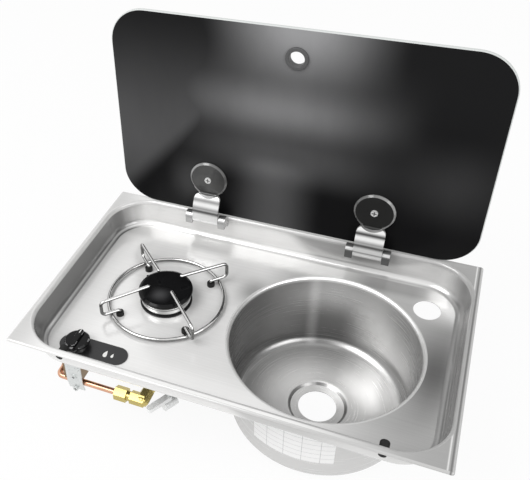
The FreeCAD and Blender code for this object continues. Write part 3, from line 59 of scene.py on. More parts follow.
# Image and camera, fitted to the photograph's flange, lid edges, bowl rim and tap hole
IMAGE_WIDTH = 530.0
IMAGE_HEIGHT = 480.0
FOCAL_PIXELS = 743.1
PRINCIPAL_X = 176.0
PRINCIPAL_Y = 222.6
CAMERA_PLACE = Vector((0.19618, -0.64432, 0.65482))
CAMERA_RIGHT = Vector((0.922252, 0.383970, -0.044930))
CAMERA_DOWN = Vector((0.204419, -0.583003, -0.786333))
CAMERA_FORWARD = Vector((-0.328122, 0.716013, -0.616167))
SENSOR_WIDTH = 36.0
NEAREST_SEEN = 0.01


def make_camera():
    data = bpy.data.cameras.new("camera")
    data.sensor_width = SENSOR_WIDTH
    data.lens = SENSOR_WIDTH * FOCAL_PIXELS / IMAGE_WIDTH
    data.shift_x = (IMAGE_WIDTH / 2 - PRINCIPAL_X) / IMAGE_WIDTH
    data.shift_y = (PRINCIPAL_Y - IMAGE_HEIGHT / 2) / IMAGE_WIDTH
    data.clip_start = NEAREST_SEEN
    camera = bpy.data.objects.new("camera", data)
    turn = Matrix((CAMERA_RIGHT, -CAMERA_DOWN, -CAMERA_FORWARD)).transposed()
    camera.matrix_world = Matrix.Translation(CAMERA_PLACE) @ turn.to_4x4()
    bpy.context.scene.collection.objects.link(camera)
    bpy.context.scene.camera = camera


# Node helpers

class Shader:
    """A Principled material whose nodes are added one by one."""

    # A Mix node names its sockets alike for numbers and colours, so they go by position
    NUMBER_ENDS = (2, 3)
    COLOR_ENDS = (6, 7)
    COLOR_RESULT = 2

    def __init__(self, name, color, metallic=0.0, roughness=0.5, **sockets):
        self.material = bpy.data.materials.new(name)
        self.material.use_nodes = True
        self.tree = self.material.node_tree
        self.bsdf = next(n for n in self.tree.nodes if n.type == "BSDF_PRINCIPLED")
        self.bsdf.inputs["Base Color"].default_value = (*color, 1.0)
        self.bsdf.inputs["Metallic"].default_value = metallic
        self.bsdf.inputs["Roughness"].default_value = roughness
        for label, value in sockets.items():
            self.bsdf.inputs[label.replace("_", " ")].default_value = value
        coordinates = self.node("ShaderNodeTexCoord")
        self.place = coordinates.outputs["Object"]
        self.facing = coordinates.outputs["Normal"]

    def node(self, kind, settings=None, inputs=None):
        made = self.tree.nodes.new(kind)
        for label, value in (settings or {}).items():
            setattr(made, label, value)
        for label, value in (inputs or {}).items():
            self.feed(made.inputs[label], value)
        return made

    def feed(self, socket, value):
        if isinstance(value, bpy.types.NodeSocket):
            self.tree.links.new(value, socket)
        else:
            socket.default_value = value

    def math(self, operation, first, second=0.0):
        return self.node("ShaderNodeMath", {"operation": operation}, {0: first, 1: second}).outputs[0]

    def plus(self, first, *others):
        for other in others:
            first = self.math("ADD", first, other)
        return first

    def minus(self, first, second):
        return self.math("SUBTRACT", first, second)

    def times(self, first, *others):
        for other in others:
            first = self.math("MULTIPLY", first, other)
        return first

    def larger(self, first, second):
        return self.math("MAXIMUM", first, second)

    def axes(self, vector=None):
        return self.node("ShaderNodeSeparateXYZ", None, {0: vector or self.place}).outputs

    def join(self, x, y, z):
        return self.node("ShaderNodeCombineXYZ", None, {0: x, 1: y, 2: z}).outputs[0]

    def scaled(self, scale):
        inputs = {"Vector": self.place, "Scale": scale}
        return self.node("ShaderNodeMapping", None, inputs).outputs[0]

    def distance(self, first, second):
        """Length of the flat vector with these two parts."""
        return self.math("SQRT", self.plus(self.times(first, first), self.times(second, second)))

    def noise(self, vector, scale=1.0, detail=3.0, rough=0.55):
        inputs = {"Vector": vector, "Scale": scale, "Detail": detail, "Roughness": rough}
        return self.node("ShaderNodeTexNoise", None, inputs).outputs["Fac"]

    def spread(self, value, low, high, to_low=0.0, to_high=1.0, shape="LINEAR"):
        """A number that runs from to_low to to_high while the value goes from low to high."""
        settings = {"interpolation_type": shape}
        inputs = {"Value": value, "From Min": low, "From Max": high, "To Min": to_low, "To Max": to_high}
        return self.node("ShaderNodeMapRange", settings, inputs).outputs["Result"]

    def ease(self, value, low, high, to_low=0.0, to_high=1.0):
        """Like spread, with soft ends."""
        return self.spread(value, low, high, to_low, to_high, "SMOOTHSTEP")

    def hill(self, value, middle, reach):
        """1 at the middle, falling softly to 0 at the reach on both sides."""
        return self.ease(self.math("ABSOLUTE", self.minus(value, middle)), 0.0, reach, 1.0, 0.0)

    def between(self, factor, first, second):
        """A number that goes from first to second with the factor."""
        ends = dict(zip(self.NUMBER_ENDS, (first, second)))
        return self.node("ShaderNodeMix", None, {0: factor, **ends}).outputs[0]

    def blend(self, factor, first, second, way="MIX"):
        """A colour that goes from first to second with the factor."""
        settings = {"data_type": "RGBA", "blend_type": way}
        inputs = {0: factor}
        for position, value in zip(self.COLOR_ENDS, (first, second)):
            inputs[position] = value if isinstance(value, bpy.types.NodeSocket) else (*value, 1.0)
        return self.node("ShaderNodeMix", settings, inputs).outputs[self.COLOR_RESULT]

    def coat(self):
        """The colour linked so far."""
        return self.bsdf.inputs["Base Color"].links[0].from_socket

    def color(self, value):
        self.feed(self.bsdf.inputs["Base Color"], value)

    def tone(self, amount):
        """Multiplies the colour linked so far by a number."""
        self.color(self.blend(1.0, self.coat(), self.join(amount, amount, amount), "MULTIPLY"))

    def metallic(self, value):
        self.feed(self.bsdf.inputs["Metallic"], value)

    def roughness(self, value):
        self.feed(self.bsdf.inputs["Roughness"], value)

    def bump(self, height, strength, distance):
        inputs = {"Height": height, "Strength": strength, "Distance": distance}
        bump = self.node("ShaderNodeBump", None, inputs)
        self.feed(self.bsdf.inputs["Normal"], bump.outputs["Normal"])


def shades(color, darker, lighter):
    """A darker and a lighter neighbour of a colour."""
    dark = tuple(part * (1 - darker) for part in color)
    light = tuple(min(1.0, part * (1 + lighter)) for part in color)
    return dark, light


GRAIN_DEPTH = 0.0002
PATCH_TO_GRAIN = 18
NOISE_RANGE = (0.3, 0.7)


def speckled(name, color, metallic, roughness, grain, contrast=0.12, relief=0.1, **sockets):
    """A surface with fine grain, soft large patches and uneven gloss."""
    shader = Shader(name, color, metallic, roughness, **sockets)
    fine = shader.noise(shader.place, grain, 4.0)
    broad = shader.noise(shader.place, grain / PATCH_TO_GRAIN, 2.0)
    mixed = shader.times(shader.plus(fine, broad), 0.5)
    shader.color(shader.blend(shader.spread(mixed, *NOISE_RANGE), *shades(color, contrast, contrast)))
    shader.roughness(shader.spread(mixed, *NOISE_RANGE, roughness * 0.8, roughness * 1.25))
    shader.bump(fine, relief, GRAIN_DEPTH)
    return shader


BRUSH_DEPTH = 0.00008
CLOUD_SCALE = 14.0


def brushed(name, color, roughness, vector_of, relief=0.08, contrast=0.1):
    """Metal with long fine polishing lines along a direction given by vector_of."""
    shader = Shader(name, color, 1.0, roughness)
    lines = shader.noise(vector_of(shader), 1.0, 5.0, 0.65)
    cloud = shader.noise(shader.place, CLOUD_SCALE, 3.0)
    shade = shader.plus(shader.times(lines, 0.7), shader.times(cloud, 0.3))
    shader.color(shader.blend(shader.spread(shade, 0.35, 0.65), *shades(color, contrast, 0.7 * contrast)))
    shader.roughness(shader.spread(shade, *NOISE_RANGE, roughness * 0.75, roughness * 1.3))
    shader.bump(lines, relief, BRUSH_DEPTH)
    return shader


# Places that the finishes and their painted light and shade follow. Height 0 is the top of the pan's flange

def middle_of(node):
    low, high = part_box(node)
    return (low + high) / 2


BOWL = middle_of("bowl")
BOWL_BASE_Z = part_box("bowl")[0].z
BOWL_LIP_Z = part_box("bowl")[1].z
DISH_EDGE = (0.040, 0.043)
BURNER = middle_of("burner_crown")
# Painted shade: the dark band where the flame ports sit under the cap, and a dark line just below it
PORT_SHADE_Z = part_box("burner_crown")[1].z - 0.0038
PORT_SHADE_EDGE = (PORT_SHADE_Z - 0.0004, PORT_SHADE_Z + 0.0004)
GROOVE_SHADE_Z = PORT_SHADE_Z - 0.0022
# Painted highlight along the cap's lower rim, and the middle of a painted reflection near its front
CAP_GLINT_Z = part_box("burner_cap")[0].z + 0.0009
CAP_REFLECTION = BURNER + Vector((-0.002, -0.015, 0.0))
PAN_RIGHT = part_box("pan")[1].x
FLANGE_LINE_X = PAN_RIGHT - 0.0075
LIP_X = PAN_RIGHT - 0.004
FLANGE_HEIGHTS = (-0.003, -0.0015)
RIM_HEIGHTS = (-0.0068, -0.0042)
LIP_HEIGHTS = (-0.006, -0.003)
HINGE_DISC = middle_of("right_hinge_cap")
DISC_RING = (0.0242, 0.0248)
DISC_REACH = 0.0272
LEAF_BACK_Y = (0.1465, 0.149)

STEEL_COLOR = (0.87, 0.866, 0.858)
CHROME_COLOR = (0.86, 0.86, 0.855)
GLINT_COLOR = (0.4, 0.4, 0.405)
ALLOY_REFLECTION_STRIPES = 7.0
BRUSH_ACROSS = 700.0
BRUSH_AROUND = 600.0


def along_x(shader):
    return shader.scaled((5.0, BRUSH_ACROSS, BRUSH_ACROSS))


def along_pipe(shader):
    return shader.scaled((8.0, 400.0, 400.0))


def polar(shader, middle):
    """Radius and angle around an upright axis."""
    x, y = shader.axes()[:2]
    from_x = shader.minus(x, middle.x)
    from_y = shader.minus(y, middle.y)
    return shader.distance(from_x, from_y), shader.math("ARCTAN2", from_y, from_x)


def around_bowl(shader):
    radius, angle = polar(shader, BOWL)
    z = shader.axes()[2]
    return shader.join(
        shader.times(radius, BRUSH_AROUND),
        shader.times(z, BRUSH_AROUND),
        shader.times(angle, 1.2),
    )


# Steel of the pan and bowl, whose tones follow the light that they mirror. Tone 1 is the plain colour,
# and ranges of x, y, z, slant, depth and radius are in metres

def pan_floor(shader, x, y):
    """Painted reflections on the floor: pale at the left, dim at the right, with darker and lighter painted
    patches round the bowl.
    """
    front = shader.ease(x, 0.05, 0.21, 1.0, 0.52)
    back = shader.ease(x, -0.02, 0.035, 1.05, 0.72)
    floor = shader.between(shader.ease(y, -0.125, -0.03), front, back)
    beside_bowl = shader.times(shader.ease(x, 0.17, 0.225), shader.hill(y, -0.005, 0.11))
    floor = shader.times(floor, shader.between(beside_bowl, 1.0, 0.32))
    back_ledge = shader.ease(x, 0.08, 0.13, 0.8, 0.42)
    floor = shader.between(shader.ease(y, 0.106, 0.122), floor, back_ledge)
    corner = shader.times(shader.hill(x, 0.235, 0.055), shader.hill(y, 0.115, 0.05))
    floor = shader.plus(floor, shader.times(corner, 0.75))
    floor = shader.times(floor, shader.ease(x, -0.235, -0.17, 0.8, 1.0))
    left_of_bowl = shader.times(shader.hill(x, -0.015, 0.035), shader.hill(y, 0.055, 0.04))
    return shader.between(left_of_bowl, floor, 0.5)


def pan_flange(shader, x):
    """Painted reflections on the flange: dimmer towards both ends, with a painted line of light near the
    right edge.
    """
    left = shader.ease(x, -0.256, -0.2, 0.72, 1.0)
    flange = shader.between(shader.ease(x, 0.06, 0.25), left, 0.42)
    return shader.between(shader.hill(x, FLANGE_LINE_X, 0.0015), flange, 0.85)


def pan_wall(shader, x, z, rim):
    """Painted wall tones: deep at the sides, pale at the back, with painted light and a dark line of
    painted reflection in the bends.
    """
    lean_x, lean_y, lean_z = shader.axes(shader.facing)
    turn = shader.math("ARCTAN2", lean_y, lean_x)
    side = shader.ease(shader.math("ABSOLUTE", shader.math("COSINE", turn)), 0.35, 0.9)
    rightward = shader.ease(x, -0.15, 0.16)
    slant = shader.plus(x, shader.times(z, 1.3))
    back = shader.between(shader.ease(slant, -0.015, 0.012), 1.0, shader.ease(x, 0.09, 0.17, 0.68, 0.85))
    wall = shader.between(side, back, shader.between(rightward, 0.28, 0.38))
    glow = shader.hill(lean_z, shader.between(rightward, 0.86, 0.93), 0.14)
    wall = shader.between(glow, wall, shader.between(rightward, 1.0, 0.65))
    dark_bend_reflection = shader.times(shader.hill(lean_z, 0.976, 0.026), side, shader.minus(1.0, rightward))
    wall = shader.between(dark_bend_reflection, wall, 0.2)
    return shader.between(rim, wall, shader.between(rightward, 0.85, 0.6))


def pan_steel():
    """Satin sheet with painted lines of light along its bends and a painted dark line down its right edge.
    """
    shader = brushed("pan_steel", STEEL_COLOR, 0.16, along_x, 0.02, 0.05)
    x, y, z = shader.axes()
    flat = shader.ease(shader.axes(shader.facing)[2], 0.99, 0.9995)
    on_flange = shader.ease(z, *FLANGE_HEIGHTS)
    level = shader.between(on_flange, pan_floor(shader, x, y), pan_flange(shader, x))
    rim = shader.ease(z, *RIM_HEIGHTS)
    tone = shader.between(flat, pan_wall(shader, x, z, rim), level)
    # Painted shade: a dark line on the turned-down lip at the right edge
    lip = shader.times(shader.hill(x, LIP_X, 0.0018), shader.ease(z, *LIP_HEIGHTS))
    shader.tone(shader.between(lip, tone, 0.2))
    shader.metallic(shader.between(rim, shader.between(flat, 0.4, 0.22), 0.12))
    return shader.material


def bowl_steel():
    """Spun sheet with painted light: a wall lit from the right with a narrow stripe of painted light, a
    painted dark band low on the wall, painted lines of light on the bend and the rolled rim, and a painted
    fan of light on its floor.
    """
    shader = brushed("bowl_steel", STEEL_COLOR, 0.24, around_bowl, 0.012, 0.03)
    radius, angle = polar(shader, BOWL)
    depth = shader.minus(BOWL_LIP_Z, shader.axes()[2])
    lean_x, lean_y, lean_z = shader.axes(shader.facing)
    across = shader.math("COSINE", angle)
    along = shader.math("SINE", angle)
    outward = shader.plus(shader.times(lean_x, across), shader.times(lean_y, along))
    inner = shader.ease(outward, -0.5, 0.1, 1.0, 0.0)
    flat = shader.ease(lean_z, 0.8, 0.98)

    def light(degrees, reach, amount):
        """Glow on the side at this angle, seen from the bowl's axis."""
        return shader.times(shader.hill(angle, math.radians(degrees), math.radians(reach)), amount)

    upper = shader.plus(light(92, 58, 0.4), light(42, 50, 0.34))
    lower = light(47, 45, 0.75)
    wall = shader.between(shader.ease(depth, 0.0175, 0.0775), upper, lower)
    # Painted light and shade on the wall: a narrow stripe of light, a dark band low down, light on the bend
    # and on the rolled rim
    light_streak = light(109, 6, 0.2)
    shade = shader.times(shader.hill(depth, 0.1035, 0.013), light(40, 35, 0.55))
    wall = shader.times(shader.plus(wall, light_streak, 0.22), shader.minus(1.0, shade))
    bend_light = shader.plus(light(80, 28, 0.45), light(128, 32, 0.55))
    wall = shader.plus(wall, shader.times(shader.hill(lean_z, 0.68, 0.22), bend_light))
    roll_light = shader.plus(light(80, 85, 0.5), 0.6)
    wall = shader.plus(wall, shader.times(shader.ease(depth, 0.002, 0.007, 1.0, 0.0), roll_light))

    floor = shader.ease(radius, 0.045, 0.105, 0.85, 0.42)
    floor = shader.times(floor, shader.ease(across, -1.0, 0.2, 1.35, 1.0))
    fan = shader.times(light(33, 50, 0.5), shader.ease(radius, 0.038, 0.075))
    gleam = shader.times(light(62, 60, 0.8), shader.ease(radius, *DISH_EDGE, 1.0, 0.0))
    floor = shader.plus(floor, fan, gleam)
    level = shader.between(shader.ease(depth, 0.0075, 0.0225), 0.95, floor)
    shader.tone(shader.between(flat, shader.between(inner, 0.76, wall), level))
    shader.metallic(shader.between(flat, shader.between(inner, 0.15, 0.5), 0.3))
    return shader.material


# Chrome of the hinges and the wire

# Painted dark reflection bands across a hinge leaf: height, reach, and depth on the left and right hinge
LEAF_REFLECTION_BANDS = (
    (0.0293, 0.0045, 0.60, 0.95),
    (0.0185, 0.0050, 0.60, 0.60),
    (0.0142, 0.0050, 0.88, 0.88),
    (0.0038, 0.0020, 0.00, 0.55),
)


def toward_right(shader, x):
    """0 at the left hinge and 1 at the right one."""
    return shader.ease(x, -0.05, 0.05)


def hinge_chrome():
    """Chrome with painted dark reflection bands across the bright bent leaf, painted shade at the back of
    the leaf, and a dark face on its disc, darker on the right hinge by painted shade, inside a bevel ring
    with a painted highlight.
    """
    shader = speckled("hinge_chrome", CHROME_COLOR, 1.0, 0.14, 260.0, 0.04, 0.03)
    x, y, z = shader.axes()
    right = toward_right(shader, x)
    bands = 0.0
    for height, reach, left_depth, right_depth in LEAF_REFLECTION_BANDS:
        depth = shader.between(right, left_depth, right_depth)
        bands = shader.larger(bands, shader.times(shader.hill(z, height, reach), depth))
    # Painted shade darkens the back of the leaf, behind its bend
    leaf = shader.between(shader.ease(y, *LEAF_BACK_Y), shader.minus(1.0, bands), 0.2)
    from_x = shader.minus(shader.math("ABSOLUTE", x), HINGE_DISC.x)
    radius = shader.distance(from_x, shader.minus(z, HINGE_DISC.z))
    # The right disc's face is darker by painted shade, and the bevel ring is painted lighter towards each
    # disc's outer side
    face = shader.between(right, 0.075, 0.035)
    ring = shader.ease(from_x, -0.02, 0.024, 0.16, 0.36)
    disc = shader.between(shader.ease(radius, *DISC_RING), face, ring)
    on_disc = shader.math("LESS_THAN", radius, DISC_REACH)
    shader.tone(shader.between(on_disc, leaf, disc))
    shader.metallic(shader.between(on_disc, 0.2, 0.25))
    return shader.material


def ear_chrome():
    """Chrome lugs with painted reflections: dark on top, a painted line of light on the shoulder and grey
    in front, deeper grey on the right hinge.
    """
    shader = speckled("ear_chrome", CHROME_COLOR, 0.3, 0.15, 260.0, 0.04, 0.03)
    lean_z = shader.axes(shader.facing)[2]
    front = shader.between(toward_right(shader, shader.axes()[0]), 0.5, 0.17)
    shoulder = shader.between(shader.ease(lean_z, 0.4, 0.55), front, 0.75)
    shader.tone(shader.between(shader.ease(lean_z, 0.8, 0.92), shoulder, 0.14))
    return shader.material


def wire_chrome():
    """Plated wire with painted light on top and painted shade below."""
    shader = speckled("trivet_chrome", (0.66, 0.66, 0.655), 1.0, 0.07, 300.0, 0.06, 0.03)
    lean_z = shader.axes(shader.facing)[2]
    shader.tone(shader.ease(lean_z, 0.0, 0.55, 0.2, 1.0))
    return shader.material


# Black glass, enamel, plastic and rubber

GLASS_COLOR = (0.009, 0.009, 0.0095)
REFLECTION_COLOR = (0.31, 0.31, 0.315)
GROUND_EDGE_COLOR = (0.62, 0.64, 0.63)
# Round pale patches of painted reflection on the glass: middle and reach along X, middle and reach along Z,
# strength
GLASS_REFLECTIONS = (
    (-0.015, 0.18, 0.185, 0.050, 0.36),
    (-0.020, 0.20, 0.190, 0.090, 0.28),
    (-0.010, 0.19, 0.112, 0.050, 0.22),
    (-0.135, 0.05, 0.050, 0.055, 0.18),
    (0.200, 0.09, 0.115, 0.080, 0.09),
)


def black_glass():
    """Opaque dark glass with painted soft pale reflections of a studio and a pale ground edge."""
    shader = Shader("black_glass", GLASS_COLOR, 0.0, 0.2, Specular_IOR_Level=0.06)
    x, _, z = shader.axes()
    # Painted reflections: a broad patch high in the middle, a patch near the foot, round patches and a band
    # at the left, broken up by noise
    painted_reflection = shader.times(shader.hill(x, 0.003, 0.13), shader.ease(z, 0.2, 0.3))
    foot = shader.times(shader.hill(x, -0.022, 0.07), shader.ease(z, 0.09, 0.12, 1.0, 0.0), 0.26)
    painted_reflection = shader.plus(painted_reflection, foot)
    for middle_x, reach_x, middle_z, reach_z, strength in GLASS_REFLECTIONS:
        across = shader.hill(x, middle_x, reach_x)
        upward = shader.hill(z, middle_z, reach_z)
        painted_reflection = shader.plus(painted_reflection, shader.times(across, upward, strength))
    slant = shader.minus(x, shader.times(z, 0.92))
    left = shader.times(shader.ease(slant, -0.285, -0.243, 1.0, 0.0), shader.hill(z, 0.11, 0.2), 0.24)
    gloss_and_reflection_noise = shader.noise(shader.scaled((5.0, 5.0, 2.0)), 3.0, 4.0)
    painted_reflection = shader.times(shader.larger(painted_reflection, left), shader.spread(gloss_and_reflection_noise, 0.25, 0.75, 0.88, 1.1))
    lean_y = shader.math("ABSOLUTE", shader.axes(shader.facing)[1])
    edge = shader.math("LESS_THAN", lean_y, 0.9)
    shader.color(shader.blend(edge, shader.blend(painted_reflection, GLASS_COLOR, REFLECTION_COLOR), GROUND_EDGE_COLOR))
    shader.roughness(shader.spread(gloss_and_reflection_noise, *NOISE_RANGE, 0.16, 0.26))
    shader.bump(shader.noise(shader.place, 40.0, 2.0), 0.02, GRAIN_DEPTH)
    return shader.material


def glossy_black(name, roughness, grain):
    """Deep black gloss coat or moulding."""
    color = (0.006, 0.006, 0.0065)
    return speckled(name, color, 0.0, roughness, grain, 0.25, 0.05, Specular_IOR_Level=0.18)


def cap_enamel():
    """Black enamel with a painted soft pale reflection near the front of the cap and a painted highlight
    along its lower rim.
    """
    shader = glossy_black("cap_enamel", 0.1, 420.0)
    x, y, z = shader.axes()
    painted_reflection = shader.times(shader.hill(x, CAP_REFLECTION.x, 0.018), shader.hill(y, CAP_REFLECTION.y, 0.016))
    with_reflection = shader.blend(painted_reflection, shader.coat(), (0.06, 0.06, 0.062))
    shader.color(shader.blend(shader.hill(z, CAP_GLINT_Z, 0.0009), with_reflection, GLINT_COLOR))
    return shader.material


def knob_plastic():
    """Black gloss moulding with broken pale glints along its rounded edges."""
    shader = glossy_black("knob_plastic", 0.09, 600.0)
    lean_z = shader.axes(shader.facing)[2]
    broken = shader.ease(shader.noise(shader.place, 170.0, 2.0), 0.5, 0.6)
    glint = shader.times(shader.hill(lean_z, 0.6, 0.3), broken)
    shader.color(shader.blend(glint, shader.coat(), GLINT_COLOR))
    return shader.material


def black_rubber():
    color = (0.014, 0.014, 0.014)
    return speckled("black_rubber", color, 0.0, 0.6, 900.0, 0.35, 0.25, Specular_IOR_Level=0.2).material


# Alloy, copper and paper

def burner_alloy():
    """Bright turned alloy with soft stripes of painted reflection, a dark band of painted shade below its
    lip and a dark ring of painted shade where its flame ports sit under the cap.
    """
    shader = speckled("burner_alloy", (0.8, 0.8, 0.795), 0.6, 0.2, 500.0, 0.08, 0.05)
    z = shader.axes()[2]
    angle = polar(shader, BURNER)[1]
    # The stripes round the crown are painted reflections
    stripes = shader.math("COSINE", shader.times(angle, ALLOY_REFLECTION_STRIPES))
    band = shader.spread(stripes, -1.0, 1.0, 0.6, 1.0)
    band = shader.between(shader.hill(z, GROOVE_SHADE_Z, 0.0013), band, 0.08)
    shader.tone(shader.between(shader.ease(z, *PORT_SHADE_EDGE), band, 0.06))
    return shader.material


def copper_tube():
    """Drawn tube with darker stains."""
    shader = brushed("copper", (0.74, 0.43, 0.29), 0.24, along_pipe, 0.04)
    stains = shader.ease(shader.noise(shader.place, 60.0, 3.0), 0.5, 0.75, 0.0, 0.5)
    shader.color(shader.blend(stains, shader.coat(), (0.4, 0.21, 0.13)))
    return shader.material


# Pitch of the label's lines, in metres upward and in radians around, and their width as a share of it
LINES_UP = (0.0085, 0.05)
LINES_ROUND = (0.19, 0.025)


def ruled_paper():
    """Blank label stock with a ruled form on it."""
    shader = speckled("blank_label", (0.95, 0.95, 0.945), 0.0, 0.55, 700.0, 0.03, 0.04)
    z = shader.axes()[2]
    angle = polar(shader, BOWL)[1]
    lines = 0.0
    for value, (pitch, width) in ((z, LINES_UP), (angle, LINES_ROUND)):
        phase = shader.math("FRACT", shader.math("DIVIDE", value, pitch))
        lines = shader.larger(lines, shader.math("LESS_THAN", phase, width))
    shader.color(shader.blend(shader.times(lines, 0.9), shader.coat(), (0.4, 0.4, 0.41)))
    return shader.material


# Name, colour, metallic, roughness, grain, contrast and relief of the finishes that need no more
PLAIN_FINISHES = (
    ("chrome", (0.72, 0.72, 0.715), 1.0, 0.1, 300.0, 0.05, 0.03),
    ("dark_chrome", (0.09, 0.09, 0.092), 1.0, 0.2, 300.0, 0.1, 0.06),
    ("satin_plate", (0.02, 0.02, 0.021), 0.0, 0.32, 700.0, 0.2, 0.08),
    # Dark collar at the burner's foot: dark metal, darkened further as painted shade below the crown
    ("burner_ring", (0.035, 0.035, 0.036), 0.5, 0.25, 500.0, 0.15, 0.05),
    ("bright_zinc", (0.88, 0.89, 0.885), 0.2, 0.25, 380.0, 0.1, 0.05),
    # Brass darkened as painted shade, for the tap body that sits in shadow
    ("shaded_brass", (0.26, 0.18, 0.1), 0.8, 0.35, 330.0, 0.2, 0.08),
    ("zinc_plate", (0.7, 0.72, 0.715), 0.35, 0.3, 380.0, 0.12, 0.05),
    ("brass", (0.56, 0.46, 0.17), 1.0, 0.26, 330.0, 0.12, 0.06),
    ("alloy", (0.78, 0.78, 0.775), 0.85, 0.24, 500.0, 0.08, 0.05),
    ("grey_rubber", (0.075, 0.075, 0.076), 0.0, 0.5, 800.0, 0.2, 0.1),
    ("bright_screw", (0.8, 0.8, 0.795), 0.3, 0.25, 500.0, 0.1, 0.05),
    ("white_mark", (0.82, 0.82, 0.8), 0.0, 0.5, 900.0, 0.06, 0.05),
    ("recess_shadow", (0.03, 0.03, 0.03), 0.4, 0.5, 700.0, 0.2, 0.1),
)
MATERIALS = {
    "pan_steel": pan_steel(),
    "bowl_steel": bowl_steel(),
    "stainless": brushed("stainless", (0.7, 0.695, 0.685), 0.26, along_x, 0.03).material,
    "black_glass": black_glass(),
    "hinge_chrome": hinge_chrome(),
    "ear_chrome": ear_chrome(),
    "trivet_chrome": wire_chrome(),
    "cap_enamel": cap_enamel(),
    "knob_plastic": knob_plastic(),
    "black_rubber": black_rubber(),
    "burner_alloy": burner_alloy(),
    "copper": copper_tube(),
    "blank_label": ruled_paper(),
}
for finish in PLAIN_FINISHES:
    MATERIALS[finish[0]] = speckled(*finish).material

# Nodes whose finish isn't the one named by their material slot
OWN_FINISH = {
    "pan": "pan_steel",
    "bowl": "bowl_steel",
    "finger_grommet": "grey_rubber",
    "left_hinge_arm": "hinge_chrome",
    "right_hinge_arm": "hinge_chrome",
    "left_hinge_base": "ear_chrome",
    "right_hinge_base": "ear_chrome",
    "hinge_disc_screws": "bright_screw",
    "burner_cap": "cap_enamel",
    "burner_crown": "burner_alloy",
    "burner_collar": "burner_ring",
    "trivet": "trivet_chrome",
    "control_plate": "satin_plate",
    "gas_knob": "knob_plastic",
    "gas_tap": "shaded_brass",
    "clamp_bar": "bright_zinc",
    "clamp_barrel_nut": "bright_zinc",
}


def dress_nodes():
    slots = {part["node"]: part["material_slot"] for part in frame["record"]["subparts"]}
    for name, item in NODES.items():
        material = MATERIALS[OWN_FINISH.get(name, slots[name])]
        for holder in item.material_slots:
            holder.material = material


# Stage: pale floor, white surroundings and soft lamps

FLOOR_Z = cad_box[0][2] - 0.0005
FLOOR_REACH = 8.0
FLOOR_GREYS = ((0.89, 0.89, 0.89), (0.91, 0.91, 0.91))
FLOOR_WHITE = 0.93
STUDIO_STRENGTH = 0.55
WHITE = (1, 1, 1, 1)
# Name, place, size and power of the square lamps that point at the origin
LAMPS = (
    ("key", Vector((-1.1, -1.0, 1.9)), 1.6, 34.0),
    ("fill", Vector((1.6, -0.7, 1.2)), 1.4, 12.0),
)


def white_to_eye(tree):
    """1 for rays from the camera, a glossy surface or a clear one, and 0 for the light on the object."""
    path = tree.nodes.new("ShaderNodeLightPath")
    seen = path.outputs["Is Camera Ray"]
    for kind in ("Is Glossy Ray", "Is Transmission Ray"):
        either = tree.nodes.new("ShaderNodeMath")
        either.operation = "MAXIMUM"
        tree.links.new(seen, either.inputs[0])
        tree.links.new(path.outputs[kind], either.inputs[1])
        seen = either.outputs[0]
    return seen


def make_floor():
    mesh = bpy.data.meshes.new("floor")
    signs = ((-1, -1), (1, -1), (1, 1), (-1, 1))
    corners = [(FLOOR_REACH * x, FLOOR_REACH * y, FLOOR_Z) for x, y in signs]
    mesh.from_pydata(corners, [], [(0, 1, 2, 3)])
    floor = bpy.data.objects.new("floor", mesh)
    bpy.context.scene.collection.objects.link(floor)
    shader = Shader("floor", FLOOR_GREYS[0], 0.0, 0.9)
    shader.color(shader.blend(shader.noise(shader.place, 3.0, 2.0), *FLOOR_GREYS))
    glow = shader.node("ShaderNodeEmission", None, {"Color": WHITE, "Strength": 1.0})
    amount = shader.times(white_to_eye(shader.tree), FLOOR_WHITE)
    inputs = {0: amount, 1: shader.bsdf.outputs[0], 2: glow.outputs[0]}
    mix = shader.node("ShaderNodeMixShader", None, inputs)
    output = next(n for n in shader.tree.nodes if n.type == "OUTPUT_MATERIAL")
    shader.feed(output.inputs["Surface"], mix.outputs[0])
    mesh.materials.append(shader.material)


def make_world():
    """White to the eye, and softer as light on the object."""
    world = bpy.data.worlds.new("studio")
    world.use_nodes = True
    bpy.context.scene.world = world
    tree = world.node_tree
    tree.nodes.clear()
    output = tree.nodes.new("ShaderNodeOutputWorld")
    mix = tree.nodes.new("ShaderNodeMixShader")
    tree.links.new(white_to_eye(tree), mix.inputs[0])
    for socket, strength in ((mix.inputs[1], STUDIO_STRENGTH), (mix.inputs[2], 1.0)):
        light = tree.nodes.new("ShaderNodeBackground")
        light.inputs["Color"].default_value = WHITE
        light.inputs["Strength"].default_value = strength
        tree.links.new(light.outputs[0], socket)
    tree.links.new(mix.outputs[0], output.inputs["Surface"])


def make_lamp(name, place, size, power):
    data = bpy.data.lights.new(name, "AREA")
    data.size = size
    data.energy = power
    lamp = bpy.data.objects.new(name, data)
    lamp.location = place
    lamp.rotation_mode = "QUATERNION"
    lamp.rotation_quaternion = (-place).to_track_quat("-Z", "Y")
    bpy.context.scene.collection.objects.link(lamp)


# Small details that the solids leave out

def add_piece(name, body, mesh, finish):
    piece = bpy.data.objects.new(name, mesh)
    bpy.context.scene.collection.objects.link(piece)
    mesh.materials.append(MATERIALS[finish])
    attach(piece, body)


def prism(outline, low, high):
    """Mesh of a flat outline in X and Y raised between two heights."""
    shape = bmesh.new()
    bottom = [shape.verts.new((x, y, low)) for x, y in outline]
    top = [shape.verts.new((x, y, high)) for x, y in outline]
    shape.faces.new(list(reversed(bottom)))
    shape.faces.new(top)
    count = len(outline)
    for index in range(count):
        after = (index + 1) % count
        shape.faces.new((bottom[index], bottom[after], top[after], top[index]))
    bmesh.ops.recalc_face_normals(shape, faces=shape.faces)
    mesh = bpy.data.meshes.new("detail")
    shape.to_mesh(mesh)
    shape.free()
    return mesh


